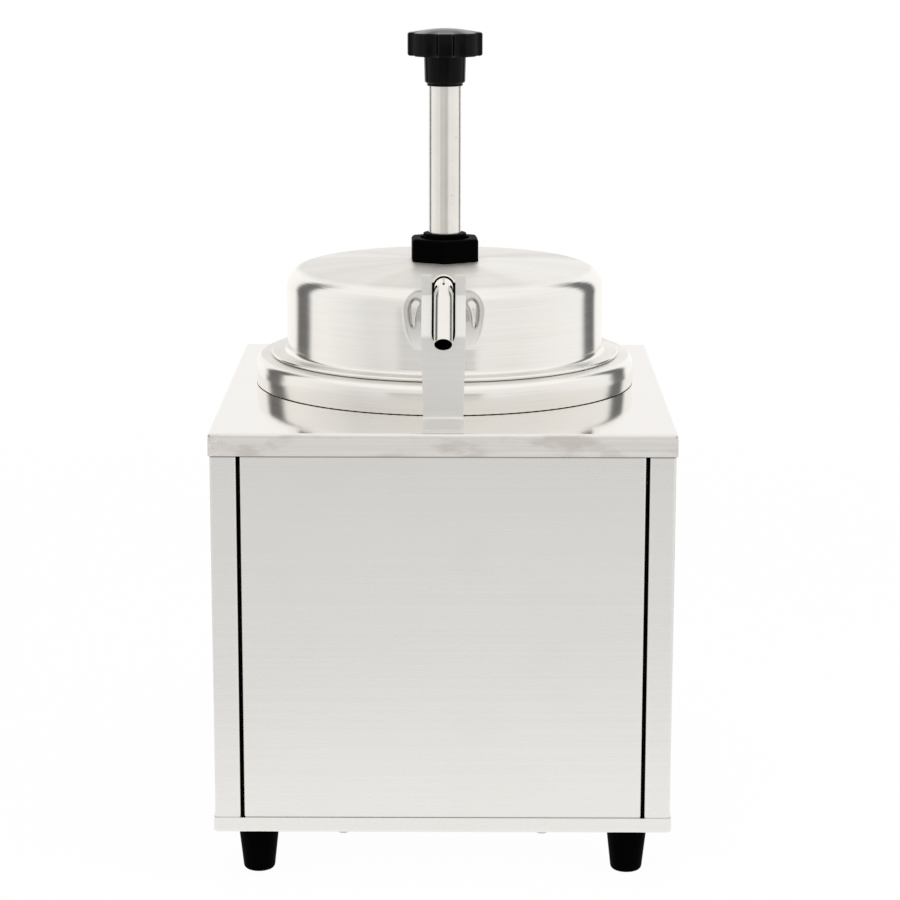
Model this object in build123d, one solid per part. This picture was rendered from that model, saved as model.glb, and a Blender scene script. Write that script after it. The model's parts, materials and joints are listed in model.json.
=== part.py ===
from build123d import *
import os
from math import cos, radians, sin, sqrt, tan

# Countertop hot topping warmer with a lift-out jar and a lid pump, in millimetres, +Z up.
# The front faces -Y. The origin is on the table, under the middle of the whole outline.
# Heights of the deck, ring, lid and pump are given above the deck.

# sheet metal housing
body_width = 254.0
body_depth = 286.0
body_height = 226.0
sheet = 0.7
fold_radius = 1.6
deck_lip = 12.5
deck_corner_gap = 1.3
pan_lip = 8.5
pan_corner_radius = 2.3
panel_gap = 0.1
post_width = 14.7
slit_width = 1.1
slit_return = 12.0
door_setback = 0.3

# feet and their screws
foot_height = 29.0
foot_top_radius = 11.8
foot_bottom_radius = 8.6
foot_edge_radius = 2.5
foot_side_inset = 23.5
foot_bore_depth = 20.0
screw_radius = 2.0
screw_head_radius = 3.6
screw_head_height = 2.4
screw_slot_width = 0.9
screw_slot_depth = 0.9
screw_clearance = 0.15
nut_flats = 7.0
nut_height = 3.2
screw_end = 1.0

# water vessel hung in the deck, with its raised ring
ring_setback = 162.0
ring_radius = 111.4
ring_height = 17.0
ring_shoulder = 5.0
vessel_wall = 1.0
vessel_radius = 90.0
vessel_lip_radius = 3.0
vessel_bottom_radius = 9.0
gasket_height = 0.6
gasket_width = 5.0
deck_hole_clearance = 2.0

# lift-out jar
jar_wall = 0.8
jar_radius = 83.2
jar_flange_radius = 99.0
jar_inside_depth = 180.0
jar_bottom_radius = 8.0
jar_lip_radius = 3.0
water_under_jar = 8.0
lift_gap = 0.3

# lid
lid_wall = 0.8
lid_flange_radius = 102.7
lid_bead_radius = 1.1
lid_radius = 93.0
lid_foot_radius = 3.4
lid_shoulder = 12.0
lid_shoulder_height = 67.9
lid_crown_radius_at = 60.0
lid_crown_height = 70.8
lid_boss_radius = 27.0
lid_height = 72.0
lid_crown_bend = 140.0
lid_boss_bend = 30.0
relief_proud = 1.1
relief_side = [(13.0, 66.0), (16.4, 65.3), (19.5, 63.0), (21.4, 59.5), (22.0, 55.5), (21.5, 50.5)]
relief_side += [(20.8, 45.5), (19.3, 40.5), (17.0, 35.5), (14.5, 30.5), (13.0, 26.0)]
relief_top = 66.4
relief_bottom = 24.5
relief_hollow = [(12.9, 60.5), (15.8, 62.1), (18.1, 60.5), (19.0, 57.4), (18.8, 52.6), (18.2, 48.3)]
relief_hollow += [(16.9, 46.4), (15.9, 48.0), (15.5, 52.5), (14.6, 56.6)]

# pump above the lid
nut_across_flats = 38.8
pump_nut_height = 13.3
pump_nut_turn = 2.5
pump_nut_chamfer = 1.2
collar_radius = 12.65
collar_height = 2.7
bush_radius = 11.5
bush_length = 24.0
spigot_radius = 14.5
plunger_radius = 9.525
plunger_wall = 1.2
running_clearance = 0.06
seat_clearance = 0.05

# pump below the lid
head_radius = 22.0
head_height = 23.0
head_gasket_height = 1.0
cylinder_radius = 17.0
cylinder_wall = 1.25
cylinder_socket = 10.0
piston_height = 16.0
piston_top_gap = 3.0
piston_neck = 12.0
seal_height = 3.0
seal_depth = 2.2
plunger_passage_gap = 0.8
stroke = 80.0
knob_clearance = 6.0
spring_wire = 2.0
spring_radius = 12.0
spring_turns = 13

# ball valves and discharge
valve_floor_gap = 5.0
valve_radius = 20.0
inlet_radius = 5.0
inlet_length = 6.0
inlet_ball_radius = 7.0
inlet_chamber_radius = 8.0
ball_travel = 3.0
ball_gap = 0.05
stop_bar = 2.0
valve_socket = 8.0
passage_radius = 4.0
boss_width = 18.0
seat_wall = 1.2
riser_setback = 32.0
riser_radius = 6.35
outlet_ball_radius = 5.5
outlet_chamber_radius = 6.0
riser_lap = 10.0

# spout
spout_radius = 5.15
spout_wall = 0.55
mouth_setback = 19.5
mouth_height = 45.6
mouth_slope = 41.5
apex_setback = 57.0
apex_height = 71.1
run_slope = 8.0
spout_elbow_radius = 16.0
spout_leg = 28.0
sleeve_radius = 7.0
sleeve_front = 64.5
sleeve_length = 36.0
sleeve_clearance = 0.05

# heated strip that carries the spout
strip_thickness = 2.0
strip_foot_front = 1.0
strip_setback = 30.0
strip_width = 22.2
fork_width = 24.4
fork_bend_height = 48.4
fork_slope = 42.1
fork_tip_setback = 51.0
fork_height = 79.0
strip_fold_radius = 2.6
slot_width = 12.8
slot_bottom_height = 43.0
strip_stud_spacing = 14.0
conductor_width = 20.0
conductor_thickness = 2.4
conductor_front = 5.0
conductor_leg = 52.0
conductor_gap = 0.3
conductor_bend = 4.0

# pump knob
knob_ring_radius = 10.5
knob_ring_height = 1.6
knob_hub_radius = 12.25
knob_hub_taper = 0.4
knob_hub_height = 15.8
knob_head_radius = 21.9
knob_head_height = 13.5
knob_cap_radius = 17.8
knob_cap_height = 2.2
knob_lobes = 8
knob_flute_radius = 5.5
knob_flute_depth = 2.6
knob_flute_turn = 23.5
knob_edge = 1.3
knob_lobe_edge = 1.6
knob_socket = 12.0
insert_length = 16.0
insert_stud_radius = 4.0
insert_stud = 11.0

# heating
band_height = 40.0
band_above_bottom = 6.0
band_thickness = 3.0
band_gap = 0.3
band_split = 14.0
ear_thickness = 1.6
ear_length = 11.0
terminal_radius = 3.0
terminal_length = 9.0
terminal_angle = 13.0
jacket_thickness = 12.5
jacket_above_bottom = 1.0
jacket_drop = 20.7
jacket_opening = 66.0
clip_width = 14.0
clip_thickness = 1.5
clip_leg = 16.0
clip_foot = 14.0
clip_angles = (40.0, 140.0, 220.0, 320.0)

# rear controls, all guessed, in one row under the vessel
row_above_pan = 2.5
thermostat_share = -0.244
thermostat_width = 34.0
thermostat_depth = 26.0
bushing_radius = 5.0
shaft_radius = 3.0
shaft_inside = 8.0
shaft_end_gap = 0.4
dial_radius = 26.0
dial_thickness = 0.8
dial_knob_radius = 18.0
dial_knob_height = 15.2
dial_skirt_radius = 20.0
dial_skirt_height = 3.0
dial_knob_gap = 1.0
dial_knob_ribs = 18
dial_rib_depth = 0.9
dial_pointer_width = 2.0
dial_pointer_length = 14.0
bulb_radius = 3.2
bulb_length = 62.0
bulb_above_bottom = 68.7
bulb_gap = 0.3
capillary_radius = 0.9
capillary_bend = 7.0
capillary_setback = 8.6
capillary_step = 26.3
capillary_rise = 20.0
capillary_side = 22.0
capillary_lead = 14.0
switch_share = 0.087
bezel_width = 22.0
bezel_height = 30.0
bezel_thickness = 2.0
bezel_wall = 2.2
switch_depth = 18.0
rocker_width = 16.4
rocker_radius = 11.8
rocker_pocket_gap = 0.6
rocker_face_inset = 0.4
rocker_end_height = 3.4
rocker_middle_height = 1.4
rocker_rest_turn = 8.0
rocker_pivot_radius = 1.5
lamp_share = -0.031
lamp_radius = 5.0
lamp_bezel_radius = 6.6
lamp_bezel_height = 1.6
lamp_depth = 16.0
lens_radius = 4.4
lens_height = 3.4
inlet_share = 0.276
inlet_flange_width = 50.0
inlet_flange_height = 28.0
inlet_flange_thickness = 3.0
inlet_body_width = 28.0
inlet_body_height = 20.5
inlet_wall = 1.8
inlet_depth = 21.0
inlet_recess = 15.0
pin_width = 2.0
pin_height = 4.2
pin_length = 11.0
pin_tail = 7.0
pin_spacing = 7.0
pin_drop = 2.0
inlet_screw_spacing = 40.0
panel_screw_radius = 1.6
panel_screw_head_radius = 3.2
panel_screw_head_height = 1.8
panel_screw_length = 7.0
panel_screw_inset = 9.0
vent_count = 9
vent_rows = 2
vent_width = 3.2
vent_length = 20.0
vent_pitch = 9.0
vent_row_pitch = 28.0
vent_height = 196.0
cutout_clearance = 0.2

# terminal block and wires in the base
block_length = 44.0
block_width = 18.0
block_height = 14.0
block_setback = 40.0
block_ways = 3
block_well_depth = 4.6
block_wire_height = 4.6
block_lead_spacing = 8.0
wire_radius = 1.3
wire_bend = 7.0
wire_spacing = 3.2
wire_drop = 8.0

# places worked out from the values above
mid = Align.CENTER
low = Align.MIN
high = Align.MAX
deck_z = foot_height + body_height
panel_inset = sheet + panel_gap
dial_reach = dial_thickness + dial_knob_gap + dial_knob_height
rear_reach = dial_reach - panel_inset
front_y = -(body_depth + rear_reach) / 2
rear_y = front_y + body_depth
box_y = front_y + body_depth / 2
axis_y = front_y + ring_setback
front_face = front_y + panel_inset
rear_face = rear_y - panel_inset
rear_inside = rear_face - sheet
thermostat_x = thermostat_share * body_width
lamp_x = lamp_share * body_width
switch_x = switch_share * body_width
inlet_x = inlet_share * body_width
side_face = body_width / 2 - panel_inset
door_half = side_face - post_width - slit_width
panel_bottom = foot_height + fold_radius
panel_top = deck_z - fold_radius
pan_floor = foot_height + sheet
row_height = foot_height + pan_lip + row_above_pan + dial_radius
ring_z = deck_z + ring_height
jar_flange_z = ring_z + lift_gap
jar_top_z = jar_flange_z + jar_wall
jar_floor_z = jar_top_z - jar_inside_depth
lid_flange_z = jar_top_z + lift_gap
vessel_floor_z = jar_floor_z - jar_wall - water_under_jar
vessel_under_z = vessel_floor_z - vessel_wall
vessel_outside = vessel_radius + vessel_wall
nut_z = deck_z + lid_height
collar_z = nut_z + pump_nut_height
knob_z = collar_z + collar_height + stroke + knob_clearance
knob_head_z = knob_z + knob_ring_height + knob_hub_height
plunger_top_z = knob_z + knob_socket
head_top_z = nut_z - lid_wall - head_gasket_height
head_bottom_z = head_top_z - head_height
cylinder_top_z = head_bottom_z + cylinder_socket
cylinder_bore = cylinder_radius - cylinder_wall
piston_top_z = head_bottom_z - piston_top_gap
piston_bottom_z = piston_top_z - piston_height
plunger_bore = plunger_radius - plunger_wall
valve_z = jar_floor_z + valve_floor_gap
inlet_seat_z = valve_z + inlet_length
inlet_ball_rest = sqrt(inlet_ball_radius ** 2 - inlet_radius ** 2) + ball_gap
inlet_ball_z = inlet_seat_z + inlet_ball_rest
stop_bar_z = inlet_ball_z + inlet_ball_radius + ball_travel + ball_gap
cylinder_bottom_z = stop_bar_z + stop_bar
valve_top_z = cylinder_bottom_z + valve_socket
passage_z = inlet_seat_z + passage_radius + seat_wall
outlet_seat_z = passage_z + passage_radius + seat_wall
riser_bore = spout_radius + seat_clearance
outlet_ball_rest = sqrt(outlet_ball_radius ** 2 - passage_radius ** 2) + ball_gap
outlet_ball_z = outlet_seat_z + outlet_ball_rest
outlet_ball_stop = sqrt(outlet_ball_radius ** 2 - riser_bore ** 2)
riser_bottom_z = outlet_ball_z + ball_travel + outlet_ball_stop + ball_gap
riser_y = axis_y - riser_setback
band_z = vessel_under_z + band_above_bottom
band_inside = vessel_outside + band_gap
band_outside = band_inside + band_thickness
jacket_inside = band_outside + band_gap
jacket_z = vessel_under_z + jacket_above_bottom
bulb_z = vessel_under_z + bulb_above_bottom
strip_y = front_y + strip_setback
block_y = axis_y + block_setback


def upright(radius, height, x, y, z):
    """Cylinder that stands on height z."""
    return Pos(x, y, z) * Cylinder(radius, height, align=(mid, mid, low))


def facing_back(radius, length, x, y, z):
    """Cylinder along +Y that starts at y."""
    return Pos(x, y, z) * Rot(X=-90) * Cylinder(radius, length, align=(mid, mid, low))


def block(width, depth, height, x, y, z):
    """Box centred on x and y that stands on height z."""
    return Pos(x, y, z) * Box(width, depth, height, align=(mid, mid, low))


def folded(points, radius, bottom, height):
    """Sheet that follows the centre line of points seen from above."""
    line = FilletPolyline(*points, radius=radius)
    return Pos(0, 0, bottom) * extrude(trace(line, sheet), height)


def turned(points, radii, thickness):
    """Sheet turned about the vessel axis, from a centre line of radius and height."""
    line = FilletPolyline(*points, radius=radii)
    return Pos(0, axis_y, 0) * revolve(Plane.XZ * trace(line, thickness), Axis.Z)


def hexagon(flats, height, bore, x, y, z, turn=0.0):
    """Nut with its corners towards the front when turn is 0."""
    outline = RegularPolygon(flats / 2, 6, major_radius=False, rotation=30 + turn)
    return Pos(x, y, z) * extrude(outline - Circle(bore), height)


def slotted_screw(length, shank, head, head_height):
    """Screw along +Z with its head below zero and its shank above."""
    top = Pos(0, 0, -head_height) * Cylinder(head, head_height, align=(mid, mid, low))
    top = fillet(top.edges().filter_by(GeomType.CIRCLE).sort_by(Axis.Z)[0], head_height / 3)
    slot = Pos(0, 0, -head_height) * Box(2 * head, screw_slot_width, 2 * screw_slot_depth)
    return top - slot + Cylinder(shank, length, align=(mid, mid, low))


def foot_places():
    """Centres of the four feet, front pair first, left before right."""
    half = body_width / 2 - foot_side_inset
    rows = (front_y + foot_side_inset, rear_y - foot_side_inset)
    return [(x, y) for y in rows for x in (-half, half)]


def strip_studs():
    """Places along Y of the two studs under the heated strip."""
    centre = (front_y + strip_foot_front + strip_y) / 2
    return (centre - strip_stud_spacing / 2, centre + strip_stud_spacing / 2)


def top_deck():
    """Deck sheet with a folded lip all round, open corner reliefs and the vessel hole."""
    outside = Pos(0, box_y, deck_z) * Box(body_width, body_depth, deck_lip, align=(mid, mid, high))
    outside = fillet(outside.faces().sort_by(Axis.Z)[-1].edges(), fold_radius)
    inner_width = body_width - 2 * sheet
    inner_depth = body_depth - 2 * sheet
    inside = Pos(0, box_y, deck_z - sheet) * Box(inner_width, inner_depth, deck_lip, align=(mid, mid, high))
    inside = fillet(inside.faces().sort_by(Axis.Z)[-1].edges(), fold_radius - sheet)
    deck = outside - inside
    deck -= upright(vessel_outside + deck_hole_clearance, 2 * sheet, 0, axis_y, deck_z - 1.5 * sheet)
    for y in strip_studs():
        deck -= upright(screw_radius + screw_clearance, 2 * sheet, 0, y, deck_z - 1.5 * sheet)
    for x in (-body_width / 2, body_width / 2):
        for y in (front_y, rear_y):
            deck -= Pos(x, y, deck_z - fold_radius) * Sphere(deck_corner_gap)
    return deck


def side_panel():
    """Right side sheet, folded round into the front and rear corner posts."""
    half = sheet / 2
    x = side_face - half
    slit_x = side_face - post_width + half
    front = front_face + half
    rear = rear_face - half
    points = [(slit_x, front + slit_return), (slit_x, front), (x, front)]
    points += [(x, rear), (slit_x, rear), (slit_x, rear - slit_return)]
    return folded(points, fold_radius - half, panel_bottom, panel_top - panel_bottom)


def front_panel():
    """Plain door sheet between the posts, with folded sides behind the dark slits."""
    half = sheet / 2
    x = door_half - half
    y = front_face + door_setback + half
    points = [(-x, y + slit_return), (-x, y), (x, y), (x, y + slit_return)]
    return folded(points, fold_radius - half, panel_bottom, panel_top - panel_bottom)


def rear_screw_places():
    """Corners of the rear panel that take a screw."""
    x = door_half - panel_screw_inset
    heights = (pan_floor + pan_lip + panel_screw_inset, deck_z - deck_lip - panel_screw_inset)
    return [(side * x, z) for side in (-1, 1) for z in heights]


def rear_panel():
    """Rear sheet with the control cut-outs, vents and screw holes."""
    half = sheet / 2
    x = door_half - half
    y = rear_face - half
    points = [(-x, y - slit_return), (-x, y), (x, y), (x, y - slit_return)]
    panel = folded(points, fold_radius - half, panel_bottom, panel_top - panel_bottom)
    start = y - sheet
    deep = 2 * sheet
    panel -= facing_back(bushing_radius + cutout_clearance, deep, thermostat_x, start, row_height)
    panel -= facing_back(lamp_radius + cutout_clearance, deep, lamp_x, start, row_height)
    switch_width = bezel_width - bezel_wall + 2 * cutout_clearance
    switch_height = bezel_height - bezel_wall + 2 * cutout_clearance
    panel -= Pos(switch_x, y, row_height) * Box(switch_width, deep, switch_height)
    socket_width = inlet_body_width + 2 * cutout_clearance
    socket_height = inlet_body_height + 2 * cutout_clearance
    panel -= Pos(inlet_x, y, row_height) * Box(socket_width, deep, socket_height)
    for side in (-1, 1):
        screw_x = inlet_x + side * inlet_screw_spacing / 2
        panel -= facing_back(panel_screw_radius + screw_clearance, deep, screw_x, start, row_height)
    for screw_x, screw_z in rear_screw_places():
        panel -= facing_back(panel_screw_radius + screw_clearance, deep, screw_x, start, screw_z)
    for row in range(vent_rows):
        for column in range(vent_count):
            slot = SlotOverall(vent_length, vent_width, rotation=90)
            vent_x = (column - (vent_count - 1) / 2) * vent_pitch
            vent_z = vent_height - row * vent_row_pitch
            panel -= Pos(vent_x, y + deep / 2, vent_z) * Rot(X=90) * extrude(slot, deep)
    return panel


def pan_screw_places():
    """Places in the base pan of the screws that hold the front and rear panels."""
    reach = slit_return / 2 + panel_inset
    x = door_half / 2
    return [(side * x, y) for y in (front_y + reach, rear_y - reach) for side in (-1, 1)]


def base_pan():
    """Shallow pan with a welded upright lip and rounded corners."""
    outside = block(body_width, body_depth, pan_lip, 0, box_y, foot_height)
    outside = fillet(outside.edges().filter_by(Axis.Z), pan_corner_radius)
    outside = fillet(outside.faces().sort_by(Axis.Z)[0].edges(), fold_radius)
    inside = block(body_width - 2 * sheet, body_depth - 2 * sheet, pan_lip, 0, box_y, pan_floor)
    inside = fillet(inside.edges().filter_by(Axis.Z), pan_corner_radius - sheet)
    inside = fillet(inside.faces().sort_by(Axis.Z)[0].edges(), fold_radius - sheet)
    pan = outside - inside
    for x, y in foot_places():
        pan -= upright(screw_radius + screw_clearance, 2 * sheet, x, y, foot_height - sheet / 2)
    for x, y in pan_screw_places():
        pan -= upright(panel_screw_radius + screw_clearance, 2 * sheet, x, y, foot_height - sheet / 2)
    return pan


def foot(x, y):
    """Tapered rubber foot with a deep bore for its screw head."""
    body = Cone(foot_bottom_radius, foot_top_radius, foot_height, align=(mid, mid, low))
    body = fillet(body.edges().filter_by(GeomType.CIRCLE).sort_by(Axis.Z)[0], foot_edge_radius)
    body -= upright(screw_head_radius + 2 * screw_clearance, foot_bore_depth, 0, 0, 0)
    body -= upright(screw_radius + screw_clearance, foot_height, 0, 0, 0)
    return Pos(x, y, 0) * body


def foot_screws():
    """One screw up through each foot."""
    length = foot_height - foot_bore_depth + sheet + nut_height + screw_end
    screw = slotted_screw(length, screw_radius, screw_head_radius, screw_head_height)
    return [Pos(x, y, foot_bore_depth) * screw for x, y in foot_places()]


def foot_nuts():
    """One nut on the pan floor over each foot."""
    bore = screw_radius + seat_clearance
    return [hexagon(nut_flats, nut_height, bore, x, y, pan_floor) for x, y in foot_places()]


def water_vessel():
    """Drawn vessel whose rim rises into the ring that stands on the deck."""
    half = vessel_wall / 2
    ring = ring_radius - half
    inner = vessel_radius + half
    top = ring_z - half
    bottom = vessel_floor_z - half
    points = [(ring, deck_z + gasket_height), (ring, top), (inner, top), (inner, bottom), (0, bottom)]
    radii = [ring_shoulder - half, vessel_lip_radius, vessel_bottom_radius]
    return turned(points, radii, vessel_wall)


def vessel_gasket():
    """Thin dark seal under the ring."""
    outer = ring_radius - seat_clearance
    ring = upright(outer, gasket_height, 0, axis_y, deck_z)
    return ring - upright(outer - gasket_width, gasket_height, 0, axis_y, deck_z)


def vessel_clips():
    """Angle clips that hold the vessel wall to the underside of the deck."""
    inner = vessel_outside + band_gap
    leg = block(clip_thickness, clip_width, clip_leg, inner + clip_thickness / 2, 0, -clip_leg)
    ledge = Pos(inner, 0, 0) * Box(clip_foot, clip_width, clip_thickness, align=(low, mid, high))
    clip = Pos(0, axis_y, deck_z - sheet) * (leg + ledge)
    turn = Pos(0, axis_y, 0)
    return [turn * Rot(Z=angle) * turn.inverse() * clip for angle in clip_angles]


def heater_band():
    """Split band heater round the foot of the vessel, with two clamp ears at the back."""
    band = upright(band_outside, band_height, 0, axis_y, band_z)
    band -= upright(band_inside, band_height, 0, axis_y, band_z)
    band -= block(band_split, band_outside * 2, band_height, 0, axis_y + band_outside, band_z)
    for side in (-1, 1):
        x = side * (band_split + ear_thickness) / 2
        y = axis_y + band_inside + ear_length / 2
        ear = block(ear_thickness, ear_length, band_height, x, y, band_z)
        ear -= upright(band_inside, band_height, 0, axis_y, band_z)
        ear -= Pos(x, band_screw_y(), band_screw_z()) * Rot(Y=90) * Cylinder(
            screw_radius + screw_clearance, 2 * ear_thickness
        )
        band += ear
    return band


def band_screw_y():
    """Distance back of the clamp screw."""
    return axis_y + band_outside + (ear_length - band_thickness) / 2


def band_screw_z():
    """Height of the clamp screw."""
    return band_z + band_height / 2


def heater_clamp_screw():
    """Screw across the two ears."""
    across = band_split / 2 + ear_thickness
    screw = slotted_screw(2 * across + nut_height, screw_radius, screw_head_radius, screw_head_height)
    return Pos(-across, band_screw_y(), band_screw_z()) * Rot(Y=90) * screw


def terminal_centre(side):
    """Outer end of a heater terminal: x and y."""
    angle = radians(terminal_angle)
    reach = band_outside + terminal_length
    return side * reach * sin(angle), axis_y + reach * cos(angle)


def heater_terminals():
    """Two ceramic posts beside the ears."""
    post = facing_back(terminal_radius, terminal_length, 0, band_outside, 0)
    place = Pos(0, axis_y, band_screw_z())
    return [place * Rot(Z=side * terminal_angle) * post for side in (1, -1)]


def insulation_jacket():
    """Glass-wool wrap round the vessel, open at the back for terminals and bulb."""
    outer = jacket_inside + jacket_thickness
    height = deck_z - jacket_drop - jacket_z
    wrap = upright(outer, height, 0, axis_y, jacket_z)
    wrap -= upright(jacket_inside, height, 0, axis_y, jacket_z)
    return wrap - block(jacket_opening, 2 * outer, height, 0, axis_y + outer, jacket_z)


def strip_side_line():
    """Centre line of the strip seen from the side: foot, riser, sloping arms, upright tips."""
    half = strip_thickness / 2
    upright_y = strip_y + half
    tip_y = front_y + fork_tip_setback + half
    turn = half * tan(radians(90 - fork_slope) / 2)
    bend_z = deck_z + fork_bend_height - turn
    tip_z = bend_z + (tip_y - upright_y) * tan(radians(fork_slope))
    foot_z = deck_z + half
    points = [(front_y + strip_foot_front, foot_z), (upright_y, foot_z), (upright_y, bend_z)]
    return points + [(tip_y, tip_z), (tip_y, deck_z + fork_height)]


def spout_bracket():
    """Heated strip: foot on the deck, riser, and a fork that carries the spout."""
    line = FilletPolyline(*strip_side_line(), radius=strip_fold_radius)
    solid = extrude(Plane.YZ * trace(line, strip_thickness), fork_width / 2, both=True)
    low_half = strip_width / 2
    top_half = fork_width / 2
    base = deck_z
    bend = deck_z + fork_bend_height
    top = deck_z + fork_height
    outline = [(-low_half, base), (low_half, base), (top_half, bend), (top_half, top)]
    outline += [(-top_half, top), (-top_half, bend)]
    sides = Plane.XZ * make_face(Polyline(*outline, close=True))
    solid = solid & extrude(sides, body_depth, both=True)
    slot_radius = slot_width / 2
    slot_centre = deck_z + slot_bottom_height + slot_radius
    slot = Pos(0, strip_y, slot_centre) * Rot(X=90) * Cylinder(slot_radius, 2 * fork_tip_setback)
    slot += block(slot_width, 2 * fork_tip_setback, fork_height, 0, strip_y, slot_centre)
    solid = solid - slot
    length = sheet + conductor_thickness + nut_height + screw_end
    for y in strip_studs():
        solid += Pos(0, y, deck_z) * Cylinder(screw_radius, length, align=(mid, mid, high))
    return solid


def conductor_strip():
    """Bar under the deck that brings heat from the vessel wall to the strip's foot."""
    half = conductor_thickness / 2
    under = deck_z - sheet - half
    leg_y = axis_y - vessel_outside - conductor_gap - half
    points = [(front_y + conductor_front, under), (leg_y, under), (leg_y, under - conductor_leg)]
    line = FilletPolyline(*points, radius=conductor_bend)
    face = Plane.YZ * trace(line, conductor_thickness)
    bar = extrude(face, conductor_width / 2, both=True)
    for y in strip_studs():
        bar -= Pos(0, y, under) * Cylinder(screw_radius + screw_clearance, 2 * conductor_thickness)
    return bar


def bracket_nuts():
    """Nuts under the conductor on the strip's studs."""
    z = deck_z - sheet - conductor_thickness - nut_height
    bore = screw_radius + seat_clearance
    return [hexagon(nut_flats, nut_height, bore, 0, y, z) for y in strip_studs()]


def food_jar():
    """Lift-out jar that hangs by its flange on the ring."""
    half = jar_wall / 2
    wall = jar_radius + half
    flange = jar_flange_z + half
    bottom = jar_floor_z - half
    points = [(jar_flange_radius, flange), (wall, flange), (wall, bottom), (0, bottom)]
    return turned(points, [jar_lip_radius, jar_bottom_radius], jar_wall)


def lid_line():
    """Centre line of the lid from its flange to the pump hole, with its bend radii."""
    half = lid_wall / 2
    wall = lid_radius - half
    flange = lid_flange_z + half
    shoulder = deck_z + lid_shoulder_height - half
    crown = deck_z + lid_crown_height - half
    boss = nut_z - half
    hole = spigot_radius + seat_clearance
    points = [(lid_flange_radius - lid_bead_radius, flange), (wall, flange), (wall, shoulder)]
    points += [(lid_crown_radius_at, crown), (lid_boss_radius, boss), (hole, boss)]
    return points, [lid_foot_radius, lid_shoulder, lid_crown_bend, lid_boss_bend]


def relief_prism(outline):
    """Bar through the front half of the lid with a smooth outline of (x, height) points."""
    face = make_face(Spline(*[(x, deck_z + z) for x, z in outline], periodic=True))
    return Pos(0, axis_y, 0) * extrude(Plane.XZ * face, 2 * lid_radius)


def relief():
    """Shield-shaped pad with a drop-shaped hollow on each side of the strip."""
    mirrored = [(-x, z) for x, z in reversed(relief_side)]
    pad = relief_prism(relief_side + [(0, relief_bottom)] + mirrored + [(0, relief_top)])
    pad -= relief_prism(relief_hollow)
    return pad - relief_prism([(-x, z) for x, z in relief_hollow])


def run_line():
    """A point on the spout's covered run and its slope: y, z and rise per mm forward."""
    apex_y = front_y + apex_setback
    apex_z = deck_z + apex_height
    bend = spout_bend_radius()
    slope = radians(run_slope)
    return apex_y + bend * sin(slope), apex_z - bend * (1 - cos(slope)), tan(slope)


def spout_bend_radius():
    """Radius that joins the mouth's straight to the apex."""
    slope = radians(mouth_slope)
    rise = mouth_height + tan(slope) * (apex_setback - mouth_setback) - apex_height
    return rise / (tan(slope) * sin(slope) - 1 + cos(slope))


def along_run(radius, start_setback, length):
    """Cylinder along the covered run, from a setback behind the deck's front edge."""
    run_y, run_z, slope = run_line()
    y = front_y + start_setback
    z = run_z - slope * (y - run_y)
    tube = Cylinder(radius, length, align=(mid, mid, low))
    return Pos(0, y, z) * Rot(X=-90 - run_slope) * tube


def lid():
    """Pressed lid: flange with a rolled edge, straight wall, crowned top, shield relief."""
    points, radii = lid_line()
    shell = turned(points, radii, lid_wall)
    thick = turned(points, radii, lid_wall + 2 * relief_proud)
    bead_at = lid_flange_radius - lid_bead_radius
    bead = Plane.XZ * Pos(bead_at, lid_flange_z + lid_wall / 2) * Circle(lid_bead_radius)
    shell += Pos(0, axis_y, 0) * revolve(bead, Axis.Z)
    shell += thick & relief()
    return shell - along_run(sleeve_radius + seat_clearance, sleeve_front, sleeve_length + sleeve_radius)


def spout_sleeve():
    """Short thick sleeve that leads the spout out through the lid's shoulder."""
    sleeve = along_run(sleeve_radius, sleeve_front, sleeve_length)
    return sleeve - along_run(spout_radius + sleeve_clearance, sleeve_front, sleeve_length)


def spout_tube():
    """Tube from the riser, forward through the sleeve, over the fork and down to the mouth."""
    run_y, run_z, slope = run_line()
    mouth_y = front_y + mouth_setback
    mouth_z = deck_z + mouth_height
    steep = tan(radians(mouth_slope))
    corner_y = (run_z + slope * run_y - mouth_z + steep * mouth_y) / (steep + slope)
    corner_z = mouth_z + steep * (corner_y - mouth_y)
    elbow_z = run_z - slope * (riser_y - run_y)
    leg_z = elbow_z - spout_leg
    points = [(mouth_y, mouth_z), (corner_y, corner_z), (riser_y, elbow_z), (riser_y, leg_z)]
    path = Plane.YZ * FilletPolyline(*points, radius=[spout_bend_radius(), spout_elbow_radius])
    ring = Circle(spout_radius) - Circle(spout_radius - spout_wall)
    start = Plane(origin=path @ 0, z_dir=path % 0)
    return sweep(start * ring, path=path)


def spout_leg_end():
    """Height of the lower end of the spout tube."""
    run_y, run_z, slope = run_line()
    return run_z - slope * (riser_y - run_y) - spout_leg


def discharge_riser():
    """Straight tube from the valve body up to the spout tube, which it laps over."""
    length = spout_leg_end() + riser_lap - riser_bottom_z
    tube = upright(riser_radius, length, 0, riser_y, riser_bottom_z)
    return tube - upright(riser_bore, length, 0, riser_y, riser_bottom_z)


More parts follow.
